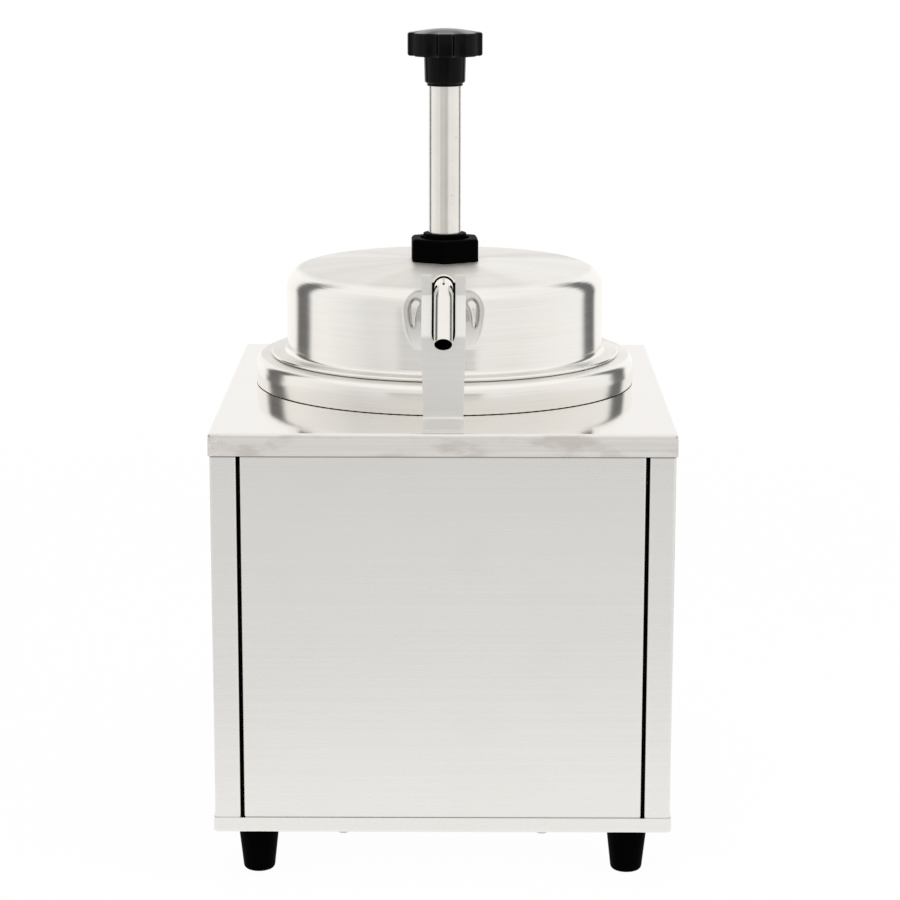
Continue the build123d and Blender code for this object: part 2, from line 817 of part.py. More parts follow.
def foot_valve_body():
    """Bottom block: inlet seat and ball chamber, side passage, outlet seat and riser socket."""
    body = upright(valve_radius, valve_top_z - valve_z, 0, axis_y, valve_z)
    reach = riser_setback + boss_width / 2
    boss = Pos(0, axis_y, valve_z) * Box(boss_width, reach, valve_top_z - valve_z, align=(mid, high, low))
    body += boss
    body -= upright(inlet_radius, inlet_length, 0, axis_y, valve_z)
    chamber_height = cylinder_bottom_z - inlet_seat_z
    body -= upright(inlet_chamber_radius, chamber_height, 0, axis_y, inlet_seat_z)
    socket = cylinder_radius + seat_clearance
    body -= upright(socket, valve_socket, 0, axis_y, cylinder_bottom_z)
    body -= Pos(0, axis_y, passage_z) * Rot(X=90) * Cylinder(
        passage_radius, riser_setback, align=(mid, mid, low)
    )
    body -= upright(passage_radius, outlet_seat_z - passage_z, 0, riser_y, passage_z)
    body -= upright(outlet_chamber_radius, riser_bottom_z - outlet_seat_z, 0, riser_y, outlet_seat_z)
    body -= upright(riser_radius + seat_clearance, valve_top_z, 0, riser_y, riser_bottom_z)
    body += block(2 * inlet_chamber_radius + seat_wall, stop_bar, stop_bar, 0, axis_y, stop_bar_z)
    return body


def foot_valve_ball():
    """Loose ball over the inlet seat."""
    return Pos(0, axis_y, inlet_ball_z) * Sphere(inlet_ball_radius)


def outlet_valve_ball():
    """Loose ball under the riser."""
    return Pos(0, riser_y, outlet_ball_z) * Sphere(outlet_ball_radius)


def pump_nut():
    """Large hexagon nut that clamps the pump to the lid."""
    nut = hexagon(nut_across_flats, pump_nut_height, spigot_radius + seat_clearance, 0, 0, 0, pump_nut_turn)
    chamfer = radians(30)
    top_radius = nut_across_flats / 2 / cos(chamfer) - pump_nut_chamfer
    bottom_radius = top_radius + pump_nut_height / tan(chamfer)
    limit = Cone(bottom_radius, top_radius, pump_nut_height, align=(mid, mid, low))
    return Pos(0, axis_y, nut_z) * (nut & limit)


def guide_bush():
    """Plastic bush in the pump head, with the dark collar that shows above the nut."""
    bush = upright(collar_radius, collar_height, 0, axis_y, collar_z)
    bush += upright(bush_radius, bush_length, 0, axis_y, collar_z - bush_length)
    bore = plunger_radius + running_clearance
    return bush - upright(bore, bush_length + collar_height, 0, axis_y, collar_z - bush_length)


def pump_head():
    """Threaded spigot through the lid, with a flange below that holds the cylinder."""
    body = upright(head_radius, head_height, 0, axis_y, head_bottom_z)
    body += upright(spigot_radius, collar_z - head_top_z, 0, axis_y, head_top_z)
    shoulder_z = collar_z - bush_length
    body -= upright(bush_radius + seat_clearance, bush_length, 0, axis_y, shoulder_z)
    body -= upright(plunger_radius + plunger_passage_gap, shoulder_z - head_bottom_z, 0, axis_y, head_bottom_z)
    return body - upright(cylinder_radius + seat_clearance, cylinder_socket, 0, axis_y, head_bottom_z)


def pump_gasket():
    """Soft washer between the lid and the pump head's flange."""
    washer = upright(head_radius, head_gasket_height, 0, axis_y, head_top_z)
    return washer - upright(spigot_radius + seat_clearance, head_gasket_height, 0, axis_y, head_top_z)


def pump_cylinder():
    """Cylinder tube between the pump head and the foot valve."""
    length = cylinder_top_z - cylinder_bottom_z
    tube = upright(cylinder_radius, length, 0, axis_y, cylinder_bottom_z)
    return tube - upright(cylinder_bore, length, 0, axis_y, cylinder_bottom_z)


def pump_spring():
    """Return spring between the valve body and the piston."""
    wire = spring_wire / 2
    height = piston_bottom_z - cylinder_bottom_z - spring_wire - 2 * seat_clearance
    path = Helix(pitch=height / spring_turns, height=height, radius=spring_radius)
    section = Plane(origin=path @ 0, z_dir=path % 0) * Circle(wire)
    return Pos(0, axis_y, cylinder_bottom_z + wire + seat_clearance) * sweep(section, path=path, is_frenet=True)


def plunger_tube():
    """Polished tube that the knob pushes down."""
    length = plunger_top_z - piston_top_z
    tube = upright(plunger_radius, length, 0, axis_y, piston_top_z)
    return tube - upright(plunger_bore, length, 0, axis_y, piston_top_z)


def seal_groove(radius):
    """Solid of the piston's seal groove out to radius."""
    z = piston_bottom_z + (piston_height - seal_height) / 2
    ring = upright(radius, seal_height, 0, axis_y, z)
    return ring - upright(cylinder_bore - running_clearance - seal_depth, seal_height, 0, axis_y, z)


def piston():
    """Piston with a seal groove and a neck inside the plunger tube."""
    radius = cylinder_bore - running_clearance
    body = upright(radius, piston_height, 0, axis_y, piston_bottom_z)
    body -= seal_groove(cylinder_bore)
    return body + upright(plunger_bore - seat_clearance, piston_neck, 0, axis_y, piston_top_z)


def piston_seal():
    """Sliding seal in the piston's groove."""
    return seal_groove(cylinder_bore - running_clearance / 2)


def knob_head():
    """Eight-lobed head of the knob."""
    head = Cylinder(knob_head_radius, knob_head_height, align=(mid, mid, low))
    reach = knob_head_radius - knob_flute_depth + knob_flute_radius
    flute = Pos(0, -reach, 0) * Cylinder(knob_flute_radius, knob_head_height, align=(mid, mid, low))
    for lobe in range(knob_lobes):
        head -= Rot(Z=knob_flute_turn + lobe * 360 / knob_lobes) * flute
    head = fillet(head.edges().filter_by(Axis.Z), knob_lobe_edge)
    rims = head.edges().group_by(Axis.Z)
    return fillet(rims[0] + rims[-1], knob_edge)


def pump_knob():
    """Black knob: ring, hub, lobed head and a low domed cap."""
    ring = Cylinder(knob_ring_radius, knob_ring_height, align=(mid, mid, low))
    hub = Pos(0, 0, knob_ring_height) * Cone(
        knob_hub_radius - knob_hub_taper, knob_hub_radius, knob_hub_height, align=(mid, mid, low)
    )
    hub = fillet(hub.edges().filter_by(GeomType.CIRCLE).sort_by(Axis.Z)[0], knob_edge)
    head_z = knob_ring_height + knob_hub_height
    cap_sphere = (knob_cap_radius ** 2 + knob_cap_height ** 2) / (2 * knob_cap_height)
    cap_top = head_z + knob_head_height + knob_cap_height
    cap = Pos(0, 0, cap_top - cap_sphere) * Sphere(cap_sphere)
    cap = cap & Pos(0, 0, cap_top) * Cylinder(
        knob_cap_radius, knob_cap_height + knob_edge, align=(mid, mid, high)
    )
    body = ring + hub + Pos(0, 0, head_z) * knob_head() + cap
    body -= Cylinder(plunger_radius + seat_clearance, knob_socket, align=(mid, mid, low))
    body -= upright(insert_stud_radius + seat_clearance, insert_stud, 0, 0, knob_socket)
    return Pos(0, axis_y, knob_z) * body


def knob_insert():
    """Plug in the plunger tube with a stud up into the knob."""
    plug = upright(plunger_bore - seat_clearance, insert_length, 0, axis_y, plunger_top_z - insert_length)
    return plug + upright(insert_stud_radius, insert_stud, 0, axis_y, plunger_top_z)


def thermostat_body():
    """Control body behind the panel with its bushing through it."""
    centre_y = rear_inside - thermostat_depth / 2
    bottom = row_height - thermostat_width / 2
    body = block(thermostat_width, thermostat_depth, thermostat_width, thermostat_x, centre_y, bottom)
    body = fillet(body.edges().filter_by(Axis.Y), knob_edge)
    bushing = sheet + dial_thickness
    body += facing_back(bushing_radius, bushing, thermostat_x, rear_inside, row_height)
    bore = shaft_radius + running_clearance
    inside = shaft_inside + shaft_end_gap
    return body - facing_back(bore, bushing + inside, thermostat_x, rear_inside - inside, row_height)


def dial_plate():
    """Round scale plate behind the knob."""
    plate = facing_back(dial_radius, dial_thickness, thermostat_x, rear_face, row_height)
    bore = bushing_radius + seat_clearance
    return plate - facing_back(bore, dial_thickness, thermostat_x, rear_face, row_height)


def thermostat_shaft():
    """Shaft from inside the control to the knob."""
    start = rear_inside - shaft_inside
    end = rear_face + dial_reach - dial_skirt_height
    return facing_back(shaft_radius, end - start, thermostat_x, start, row_height)


def thermostat_knob():
    """Ribbed control knob with a skirt and a raised pointer bar."""
    grip_height = dial_knob_height - dial_skirt_height
    grip = Circle(dial_knob_radius)
    for rib in range(dial_knob_ribs):
        angle = radians(rib * 360 / dial_knob_ribs)
        place = Pos(dial_knob_radius * sin(angle), dial_knob_radius * cos(angle))
        grip -= place * Circle(dial_rib_depth)
    knob = Pos(0, 0, dial_skirt_height) * extrude(grip, grip_height - dial_pointer_width / 2)
    knob += Cylinder(dial_skirt_radius, dial_skirt_height, align=(mid, mid, low))
    bar = Box(dial_pointer_width, dial_pointer_length, dial_pointer_width, align=(mid, low, high))
    knob += Pos(0, 0, dial_knob_height) * bar
    knob -= Cylinder(shaft_radius, dial_knob_height - dial_skirt_height, align=(mid, mid, low))
    y = rear_face + dial_thickness + dial_knob_gap
    return Pos(thermostat_x, y, row_height) * Rot(X=-90) * Rot(Z=180) * knob


def bulb_y():
    """Distance back of the bulb's axis, against the vessel wall."""
    return axis_y + vessel_outside + bulb_gap + bulb_radius


def thermostat_bulb():
    """Sensing bulb up the back of the vessel."""
    bulb = upright(bulb_radius, bulb_length, 0, bulb_y(), bulb_z)
    ends = bulb.edges().filter_by(GeomType.CIRCLE)
    return fillet(ends, bulb_radius / 2)


def capillary_tube():
    """Thin tube from the control up to the bulb."""
    start_z = row_height + thermostat_width / 2
    back = rear_inside - capillary_setback
    points = [(thermostat_x, back, start_z), (thermostat_x, back, start_z + capillary_step)]
    points += [(-capillary_side, back, band_screw_z() + capillary_rise)]
    points += [(0, bulb_y(), bulb_z - capillary_lead), (0, bulb_y(), bulb_z)]
    path = FilletPolyline(*points, radius=capillary_bend)
    section = Plane(origin=path @ 0, z_dir=path % 0) * Circle(capillary_radius)
    return sweep(section, path=path)


def switch_housing():
    """Switch body and bezel with a deep pocket for the rocker."""
    bezel = Pos(switch_x, rear_face, row_height) * Box(
        bezel_width, bezel_thickness, bezel_height, align=(mid, low, mid)
    )
    bezel = fillet(bezel.faces().sort_by(Axis.Y)[-1].edges(), knob_edge / 2)
    case = Pos(switch_x, rear_face, row_height) * Box(
        bezel_width - bezel_wall, switch_depth, bezel_height - bezel_wall, align=(mid, high, mid)
    )
    pocket_width = rocker_width + 2 * rocker_pocket_gap
    pocket_radius = rocker_radius + rocker_pocket_gap
    pocket = Pos(switch_x, rear_face, row_height) * Rot(Y=90) * Cylinder(pocket_radius, pocket_width)
    pocket += Pos(switch_x, rear_face, row_height) * Box(
        pocket_width, bezel_thickness, 2 * pocket_radius, align=(mid, low, mid)
    )
    body = bezel + case - pocket
    reach = pocket_width + bezel_wall
    pivot = Pos(switch_x, rear_face, row_height) * Rot(Y=90)
    return body - pivot * Cylinder(rocker_pivot_radius + running_clearance, reach)


def power_rocker():
    """Rocker with a shallow V face and two pivot stubs, stored in its off position."""
    disc = Circle(rocker_radius) & Pos(0, -rocker_radius) * Rectangle(2 * rocker_radius, 2 * rocker_radius)
    side = rocker_radius - rocker_face_inset
    face = [(-side, 0), (-side, rocker_end_height), (0, rocker_middle_height)]
    face += [(side, rocker_end_height), (side, 0)]
    profile = disc + make_face(Polyline(*face, close=True))
    body = extrude(profile, rocker_width / 2, both=True)
    body += Cylinder(rocker_pivot_radius, rocker_width + bezel_wall)
    upright_body = Plane(origin=(0, 0, 0), x_dir=(0, 0, 1), z_dir=(1, 0, 0)) * body
    return Pos(switch_x, rear_face, row_height) * Rot(X=rocker_rest_turn) * upright_body


def indicator_lamp():
    """Lamp body with its bezel."""
    body = facing_back(lamp_radius, lamp_depth, lamp_x, rear_face - lamp_depth, row_height)
    body += facing_back(lamp_bezel_radius, lamp_bezel_height, lamp_x, rear_face, row_height)
    depth = lamp_bezel_height + lens_height
    return body - facing_back(lens_radius, depth, lamp_x, rear_face - lens_height, row_height)


def lamp_lens():
    """Domed lens in the lamp's bezel."""
    length = 2 * lens_height + lamp_bezel_height - seat_clearance
    radius = lens_radius - seat_clearance
    lens = facing_back(radius, length, lamp_x, rear_face - lens_height + seat_clearance, row_height)
    return fillet(lens.faces().sort_by(Axis.Y)[-1].edges(), radius / 2)


def power_inlet():
    """Flanged mains inlet with a deep recess round its pins."""
    flange = Pos(inlet_x, rear_face, row_height) * Box(
        inlet_flange_width, inlet_flange_thickness, inlet_flange_height, align=(mid, low, mid)
    )
    flange = fillet(flange.edges().filter_by(Axis.Y), 2 * knob_edge)
    for side in (-1, 1):
        x = inlet_x + side * inlet_screw_spacing / 2
        bore = panel_screw_radius + seat_clearance
        flange -= facing_back(bore, inlet_flange_thickness, x, rear_face, row_height)
    case = Pos(inlet_x, rear_face, row_height) * Box(
        inlet_body_width, inlet_depth, inlet_body_height, align=(mid, high, mid)
    )
    recess = Pos(inlet_x, rear_face + inlet_flange_thickness, row_height) * Box(
        inlet_body_width - 2 * inlet_wall,
        inlet_recess + inlet_flange_thickness,
        inlet_body_height - 2 * inlet_wall,
        align=(mid, high, mid),
    )
    body = flange + case - recess
    for x, z in pin_places():
        body -= Pos(x, rear_face - inlet_depth, z) * Box(
            pin_width, inlet_depth, pin_height, align=(mid, low, mid)
        )
    return body


def pin_places():
    """Centres of the three inlet pins: two live, and the earth pin between and above."""
    outer = [(inlet_x + side * pin_spacing, row_height - pin_drop) for side in (-1, 1)]
    return outer + [(inlet_x, row_height + pin_drop)]


def inlet_pins():
    """Three flat pins with tails behind the inlet."""
    back = rear_face - inlet_depth - pin_tail
    length = pin_tail + inlet_depth - inlet_recess + pin_length
    pins = []
    for x, z in pin_places():
        pins.append(Pos(x, back, z) * Box(pin_width, length, pin_height, align=(mid, low, mid)))
    return pins


def rear_screw():
    """Panel screw that points forward, with its head behind."""
    screw = slotted_screw(
        panel_screw_length, panel_screw_radius, panel_screw_head_radius, panel_screw_head_height
    )
    return Rot(X=90) * screw


def inlet_screws():
    """Two screws in the inlet's flange."""
    y = rear_face + inlet_flange_thickness
    half = inlet_screw_spacing / 2
    return [Pos(inlet_x + side * half, y, row_height) * rear_screw() for side in (-1, 1)]


def rear_panel_screws():
    """Four screws at the rear panel's corners."""
    return [Pos(x, rear_face, z) * rear_screw() for x, z in rear_screw_places()]


def base_pan_screws():
    """Screws up through the base pan, heads below."""
    screw = slotted_screw(
        panel_screw_length, panel_screw_radius, panel_screw_head_radius, panel_screw_head_height
    )
    return [Pos(x, y, foot_height) * screw for x, y in pan_screw_places()]


def block_way_x(way):
    """Place across of one way of the terminal block."""
    return (way - (block_ways - 1) / 2) * block_length / block_ways


def terminal_block():
    """Ceramic block on the pan floor with a screw well over each way."""
    body = block(block_length, block_width, block_height, 0, block_y, pan_floor)
    body = fillet(body.edges().filter_by(Axis.Z), knob_edge)
    for way in range(block_ways):
        well_z = pan_floor + block_height - block_well_depth
        body -= upright(terminal_radius, block_well_depth, block_way_x(way), block_y, well_z)
    return body


def wire(points):
    """Insulated wire along rounded runs."""
    path = FilletPolyline(*points, radius=wire_bend)
    section = Plane(origin=path @ 0, z_dir=path % 0) * Circle(wire_radius)
    return sweep(section, path=path)


def internal_leads():
    """Two leads down from the heater and three from the inlet, to the terminal block."""
    leads = []
    block_back = block_y + block_width / 2
    wire_z = pan_floor + block_wire_height
    for side in (-1, 1):
        x, y = terminal_centre(side)
        down_y = y + wire_radius + terminal_radius * sin(radians(terminal_angle)) + seat_clearance
        top = band_screw_z() + terminal_radius
        end_x = side * block_lead_spacing / 2
        points = [(x, down_y, top), (x, down_y, wire_z + 2 * wire_bend)]
        points += [(end_x, down_y - 2 * wire_bend, wire_z), (end_x, block_back, wire_z)]
        leads.append(wire(points))
    tail_y = rear_face - inlet_depth - pin_tail
    down_y = tail_y - wire_drop
    for x, z in pin_places():
        end_y = block_y - (x - inlet_x) * wire_spacing / pin_spacing
        points = [(x, tail_y, z), (x, down_y, z), (x, down_y, wire_z)]
        points += [(x, end_y, wire_z), (block_length / 2, end_y, wire_z)]
        leads.append(wire(points))
    return leads


def write(name, shape):
    """Write one node's solids to its own STEP file."""
    if isinstance(shape, list):
        shape = Compound(children=[piece for piece in shape])
    export_step(shape, os.path.join("parts", name + ".step"))
    print(name)


os.makedirs("parts", exist_ok=True)
right_side = side_panel()
nodes = {
    "top_deck": top_deck(),
    "left_side_panel": mirror(right_side, about=Plane.YZ),
    "right_side_panel": right_side,
    "front_panel": front_panel(),
    "rear_panel": rear_panel(),
    "base_pan": base_pan(),
    "foot_screws": foot_screws(),
    "foot_nuts": foot_nuts(),
    "water_vessel": water_vessel(),
    "vessel_gasket": vessel_gasket(),
    "vessel_clips": vessel_clips(),
    "heater_band": heater_band(),
    "heater_clamp_screw": heater_clamp_screw(),
    "heater_terminals": heater_terminals(),
    "insulation_jacket": insulation_jacket(),
    "spout_bracket": spout_bracket(),
    "conductor_strip": conductor_strip(),
    "bracket_nuts": bracket_nuts(),
    "food_jar": food_jar(),
    "lid": lid(),
    "spout_sleeve": spout_sleeve(),
    "spout_tube": spout_tube(),
    "discharge_riser": discharge_riser(),
    "foot_valve_body": foot_valve_body(),
    "foot_valve_ball": foot_valve_ball(),
    "outlet_valve_ball": outlet_valve_ball(),
    "pump_nut": pump_nut(),
    "guide_bush": guide_bush(),
    "pump_head": pump_head(),
    "pump_gasket": pump_gasket(),
    "pump_cylinder": pump_cylinder(),
    "pump_spring": pump_spring(),
    "plunger_tube": plunger_tube(),
    "piston": piston(),
    "piston_seal": piston_seal(),
    "pump_knob": pump_knob(),
    "knob_insert": knob_insert(),
    "thermostat_body": thermostat_body(),
    "dial_plate": dial_plate(),
    "thermostat_shaft": thermostat_shaft(),
    "thermostat_knob": thermostat_knob(),
    "thermostat_bulb": thermostat_bulb(),
    "capillary_tube": capillary_tube(),
    "switch_housing": switch_housing(),
    "power_rocker": power_rocker(),
    "indicator_lamp": indicator_lamp(),
    "lamp_lens": lamp_lens(),
    "power_inlet": power_inlet(),
    "inlet_pins": inlet_pins(),
    "inlet_screws": inlet_screws(),
    "rear_panel_screws": rear_panel_screws(),
    "base_pan_screws": base_pan_screws(),
    "terminal_block": terminal_block(),
    "internal_leads": internal_leads(),
}
for foot_name, place in zip(("front_left", "front_right", "rear_left", "rear_right"), foot_places()):
    nodes[foot_name + "_foot"] = foot(*place)
for node_name, node in nodes.items():
    write(node_name, node)
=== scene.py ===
import json
import math

import bmesh
import bpy
import numpy as np
from mathutils import Euler, Matrix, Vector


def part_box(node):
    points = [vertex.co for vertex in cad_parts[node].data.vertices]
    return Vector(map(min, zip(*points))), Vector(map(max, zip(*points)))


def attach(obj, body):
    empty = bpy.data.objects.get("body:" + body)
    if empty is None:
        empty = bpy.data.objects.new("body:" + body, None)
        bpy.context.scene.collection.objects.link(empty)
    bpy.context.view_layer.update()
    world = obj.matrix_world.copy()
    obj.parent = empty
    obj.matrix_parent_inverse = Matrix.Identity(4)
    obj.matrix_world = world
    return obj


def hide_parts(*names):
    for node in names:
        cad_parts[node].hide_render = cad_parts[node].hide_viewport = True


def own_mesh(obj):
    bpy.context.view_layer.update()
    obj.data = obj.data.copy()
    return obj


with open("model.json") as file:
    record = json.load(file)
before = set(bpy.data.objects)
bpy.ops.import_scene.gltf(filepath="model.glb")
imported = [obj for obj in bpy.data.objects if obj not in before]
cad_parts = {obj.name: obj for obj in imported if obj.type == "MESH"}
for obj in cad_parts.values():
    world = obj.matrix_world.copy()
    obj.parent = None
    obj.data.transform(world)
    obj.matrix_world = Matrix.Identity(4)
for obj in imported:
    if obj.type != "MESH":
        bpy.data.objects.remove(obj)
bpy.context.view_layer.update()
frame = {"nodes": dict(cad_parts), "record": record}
nodes = frame["nodes"]
print("frame loaded, pieces:", len(nodes))

# places that many pieces share, read from the frame
lidLow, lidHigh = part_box("lid")
axisY = (lidLow.y + lidHigh.y) / 2
deckLow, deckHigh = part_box("top_deck")
deckTop = deckHigh.z


# ---- shapes as arrays ----

def roundedLine(points, radii, steps=9):
    # straight runs; at each corner an arc touches both runs, its centre on the line that halves the corner
    points = np.asarray(points, float)
    parts = [points[:1]]
    for corner, radius in zip(range(1, len(points) - 1), radii):
        back = points[corner - 1] - points[corner]
        ahead = points[corner + 1] - points[corner]
        back = back / np.linalg.norm(back)
        ahead = ahead / np.linalg.norm(ahead)
        half = math.acos(float(np.clip(back @ ahead, -1, 1))) / 2
        middle = (back + ahead) / np.linalg.norm(back + ahead)
        centre = points[corner] + middle * radius / math.sin(half)
        start = points[corner] + back * radius / math.tan(half) - centre
        end = points[corner] + ahead * radius / math.tan(half) - centre
        turn = math.pi - 2 * half
        share = np.linspace(0, 1, steps)[:, None]
        arc = np.sin((1 - share) * turn) * start + np.sin(share * turn) * end
        parts.append(centre + arc / math.sin(turn))
    parts.append(points[-1:])
    return np.vstack(parts)


def spacedLine(line, step):
    # the same line with more points, so that no two are further apart than the step
    length = np.concatenate([[0], np.cumsum(np.linalg.norm(np.diff(line, axis=0), axis=1))])
    extra = np.arange(step, length[-1], step)
    near = np.abs(extra[:, None] - length[None, :]).min(1)
    places = np.sort(np.concatenate([length, extra[near > step * 0.3]]))
    return np.stack([np.interp(places, length, line[:, k]) for k in range(line.shape[1])], 1)


def lineSides(line):
    # at each point the unit vector square to the line, to its left
    steps = np.diff(line, axis=0)
    steps = steps / np.maximum(np.linalg.norm(steps, axis=1), 1e-12)[:, None]
    ahead = np.vstack([steps[:1], steps[:-1] + steps[1:], steps[-1:]])
    ahead = ahead / np.linalg.norm(ahead, axis=1)[:, None]
    return np.stack([-ahead[:, 1], ahead[:, 0]], 1), ahead


def sheetOutline(line, thickness, capSteps=5):
    # the line moved half a thickness to each side and joined by half-round ends; also each point's left side
    side, ahead = lineSides(line)
    turn = np.linspace(math.pi / 2, -math.pi / 2, capSteps + 2)[1:-1, None]
    half = thickness / 2
    endCap = line[-1] + half * (side[-1] * np.sin(turn) + ahead[-1] * np.cos(turn))
    startCap = line[0] - half * (side[0] * np.sin(turn) + ahead[0] * np.cos(turn))
    outline = np.vstack([line + side * half, endCap, (line - side * half)[::-1], startCap])
    ends = np.ones((capSteps, 1))
    facing = np.vstack([side, ends * side[-1], side[::-1], ends * side[0]])
    return outline, facing


def revolve(line, angles, centre=(0.0, 0.0)):
    # each point (radius, height) goes round the upright axis; angle 0 faces the front, towards -Y
    angles = np.asarray(angles)[:, None]
    x = centre[0] + line[None, :, 0] * np.sin(angles)
    y = centre[1] - line[None, :, 0] * np.cos(angles)
    z = np.broadcast_to(line[None, :, 1], x.shape)
    return np.stack([x, y, z], -1)


def fullTurn(count):
    return np.linspace(0, 2 * math.pi, count, endpoint=False)


def carryRing(path, radii, around=48):
    # a round section carried along a line in the plane x = 0; one radius for each point of the path
    side, ahead = lineSides(path)
    turn = fullTurn(around)[None, :]
    radii = np.broadcast_to(radii, len(path))[:, None]
    x = radii * np.sin(turn)
    y = path[:, :1] + radii * np.cos(turn) * side[:, :1]
    z = path[:, 1:] + radii * np.cos(turn) * side[:, 1:]
    return np.stack([x, y, z], -1)


def tubeShell(path, outside, inside, edge=0.00012, around=48):
    # the outer wall and the bore as two surfaces that meet at two rounded rims
    side, ahead = lineSides(path)
    outer = carryRing(path, outside, around)
    bore = carryRing(path, inside, around)
    middle = carryRing(path, (outside + inside) / 2, around)
    nearRim = middle[:1] - edge * np.array([0, *ahead[0]])
    farRim = middle[-1:] + edge * np.array([0, *ahead[-1]])
    return [(np.concatenate([nearRim, outer, farRim]), False, True),
            (np.concatenate([nearRim, bore, farRim]), False, True)]


def gridFaces(rows, columns, wrapRows, wrapColumns, first):
    # four-cornered faces between neighbouring rows and columns, wrapping round where the surface closes
    row = np.arange(rows if wrapRows else rows - 1)[:, None]
    column = np.arange(columns if wrapColumns else columns - 1)[None, :]
    nextRow = (row + 1) % rows
    nextColumn = (column + 1) % columns
    corners = [row * columns + column, nextRow * columns + column,
               nextRow * columns + nextColumn, row * columns + nextColumn]
    return first + np.stack(np.broadcast_arrays(*corners), -1).reshape(-1, 4)


def makePiece(name, surfaces, sharpAngle=32, boreDark=False, shade=None):
    # each surface is (grid of points, wraps over its rows, wraps over its columns); the second may be a bore;
    # shade is a number for each point of the first, and zero on the rest
    points = []
    faces = []
    finishNumbers = []
    count = 0
    for number, (grid, wrapRows, wrapColumns) in enumerate(surfaces):
        rows, columns = grid.shape[:2]
        points.append(grid.reshape(-1, 3))
        faces.append(gridFaces(rows, columns, wrapRows, wrapColumns, count))
        finishNumbers.append(np.full(len(faces[-1]), number))
        count += rows * columns
    mesh = bpy.data.meshes.new(name)
    mesh.from_pydata(np.vstack(points).tolist(), [], np.vstack(faces).tolist())
    if boreDark:
        mesh.polygons.foreach_set("material_index", np.concatenate(finishNumbers))
    if shade is not None:
        values = np.zeros(count)
        values[:shade.size] = shade.ravel()
        mesh.attributes.new("shade", "FLOAT", "POINT").data.foreach_set("value", values)
    closeMesh(mesh)
    mesh.shade_smooth()
    mesh.set_sharp_from_angle(angle=math.radians(sharpAngle))
    piece = bpy.data.objects.new(name, mesh)
    bpy.context.scene.collection.objects.link(piece)
    return piece


def closeMesh(mesh, mergeDistance=2e-6):
    # doubles are merged and the faces turned outwards
    work = bmesh.new()
    work.from_mesh(mesh)
    bmesh.ops.remove_doubles(work, verts=work.verts, dist=mergeDistance)
    bmesh.ops.dissolve_degenerate(work, edges=work.edges, dist=mergeDistance / 4)
    bmesh.ops.recalc_face_normals(work, faces=work.faces)
    work.to_mesh(mesh)
    work.free()
    mesh.update()


def addModifier(piece, kind, **settings):
    made = piece.modifiers.new(kind.lower(), kind)
    for key, value in settings.items():
        setattr(made, key, value)
    return made


def seat(piece, body, finish, slotName, *replaced):
    # a new piece takes its finish, moves with its body and stands for its CAD nodes
    piece.data.materials.append(finish)
    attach(piece, body)
    if replaced:
        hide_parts(*replaced)
    return piece


# ---- shader nodes ----

class Wire:
    # an output socket; sums on it add Math nodes
    def __init__(self, maker, socket):
        self.maker = maker
        self.socket = socket

    def math(self, operation, *others):
        values = dict(enumerate((self,) + others))
        return self.maker.node("Math", {"operation": operation}, values)

    def __add__(self, other):
        return self.math("ADD", other)

    def __radd__(self, other):
        return self.math("ADD", other)

    def __mul__(self, other):
        return self.math("MULTIPLY", other)

    def __rmul__(self, other):
        return self.math("MULTIPLY", other)

    def __sub__(self, other):
        return self.math("SUBTRACT", other)

    def __rsub__(self, other):
        return self.maker.node("Math", {"operation": "SUBTRACT"}, {0: other, 1: self})

    def __truediv__(self, other):
        return self.math("DIVIDE", other)


class NodeMaker:
    # adds nodes to one tree: settings first, then the values or links of the sockets
    def __init__(self, tree):
        self.tree = tree
        tree.nodes.clear()

    def node(self, kind, settings=None, sockets=None, out=0):
        made = self.tree.nodes.new("ShaderNode" + kind)
        for key, value in (settings or {}).items():
            if key == "stops":
                self.setStops(made.color_ramp, value)
            else:
                setattr(made, key, value)
        for key, value in (sockets or {}).items():
            if isinstance(value, Wire):
                self.tree.links.new(value.socket, made.inputs[key])
            else:
                made.inputs[key].default_value = value
        return Wire(self, made.outputs[out])

    def setStops(self, ramp, stops):
        while len(ramp.elements) < len(stops):
            ramp.elements.new(0.5)
        for element, (place, tone) in zip(ramp.elements, stops):
            element.position = place
            element.color = (tone, tone, tone, 1) if isinstance(tone, float) else tone

    def noise(self, place, scale, detail=2.0, roughness=0.5):
        return self.node("TexNoise", {}, {"Vector": place, "Scale": scale, "Detail": detail,
                                          "Roughness": roughness})

    def stretch(self, place, factors):
        return self.node("VectorMath", {"operation": "MULTIPLY"}, {0: place, 1: factors})

    def tone(self, colour, amount):
        # a colour times a number
        return self.node("VectorMath", {"operation": "SCALE"}, {0: colour, "Scale": amount})

    def blend(self, amount, first, second):
        return self.node("Mix", {"data_type": "RGBA"}, {0: amount, 6: first, 7: second}, out=2)

    def step(self, value, low, high, start=0.0, end=1.0):
        # runs smoothly from start to end while the value goes from low to high
        return self.node("MapRange", {"interpolation_type": "SMOOTHSTEP"},
                         {0: value, 1: low, 2: high, 3: start, 4: end})

    def split(self, vector):
        x = self.node("SeparateXYZ", {}, {0: vector})
        return x, Wire(self, x.socket.node.outputs[1]), Wire(self, x.socket.node.outputs[2])

    def join(self, x, y, z):
        return self.node("CombineXYZ", {}, {0: x, 1: y, 2: z})


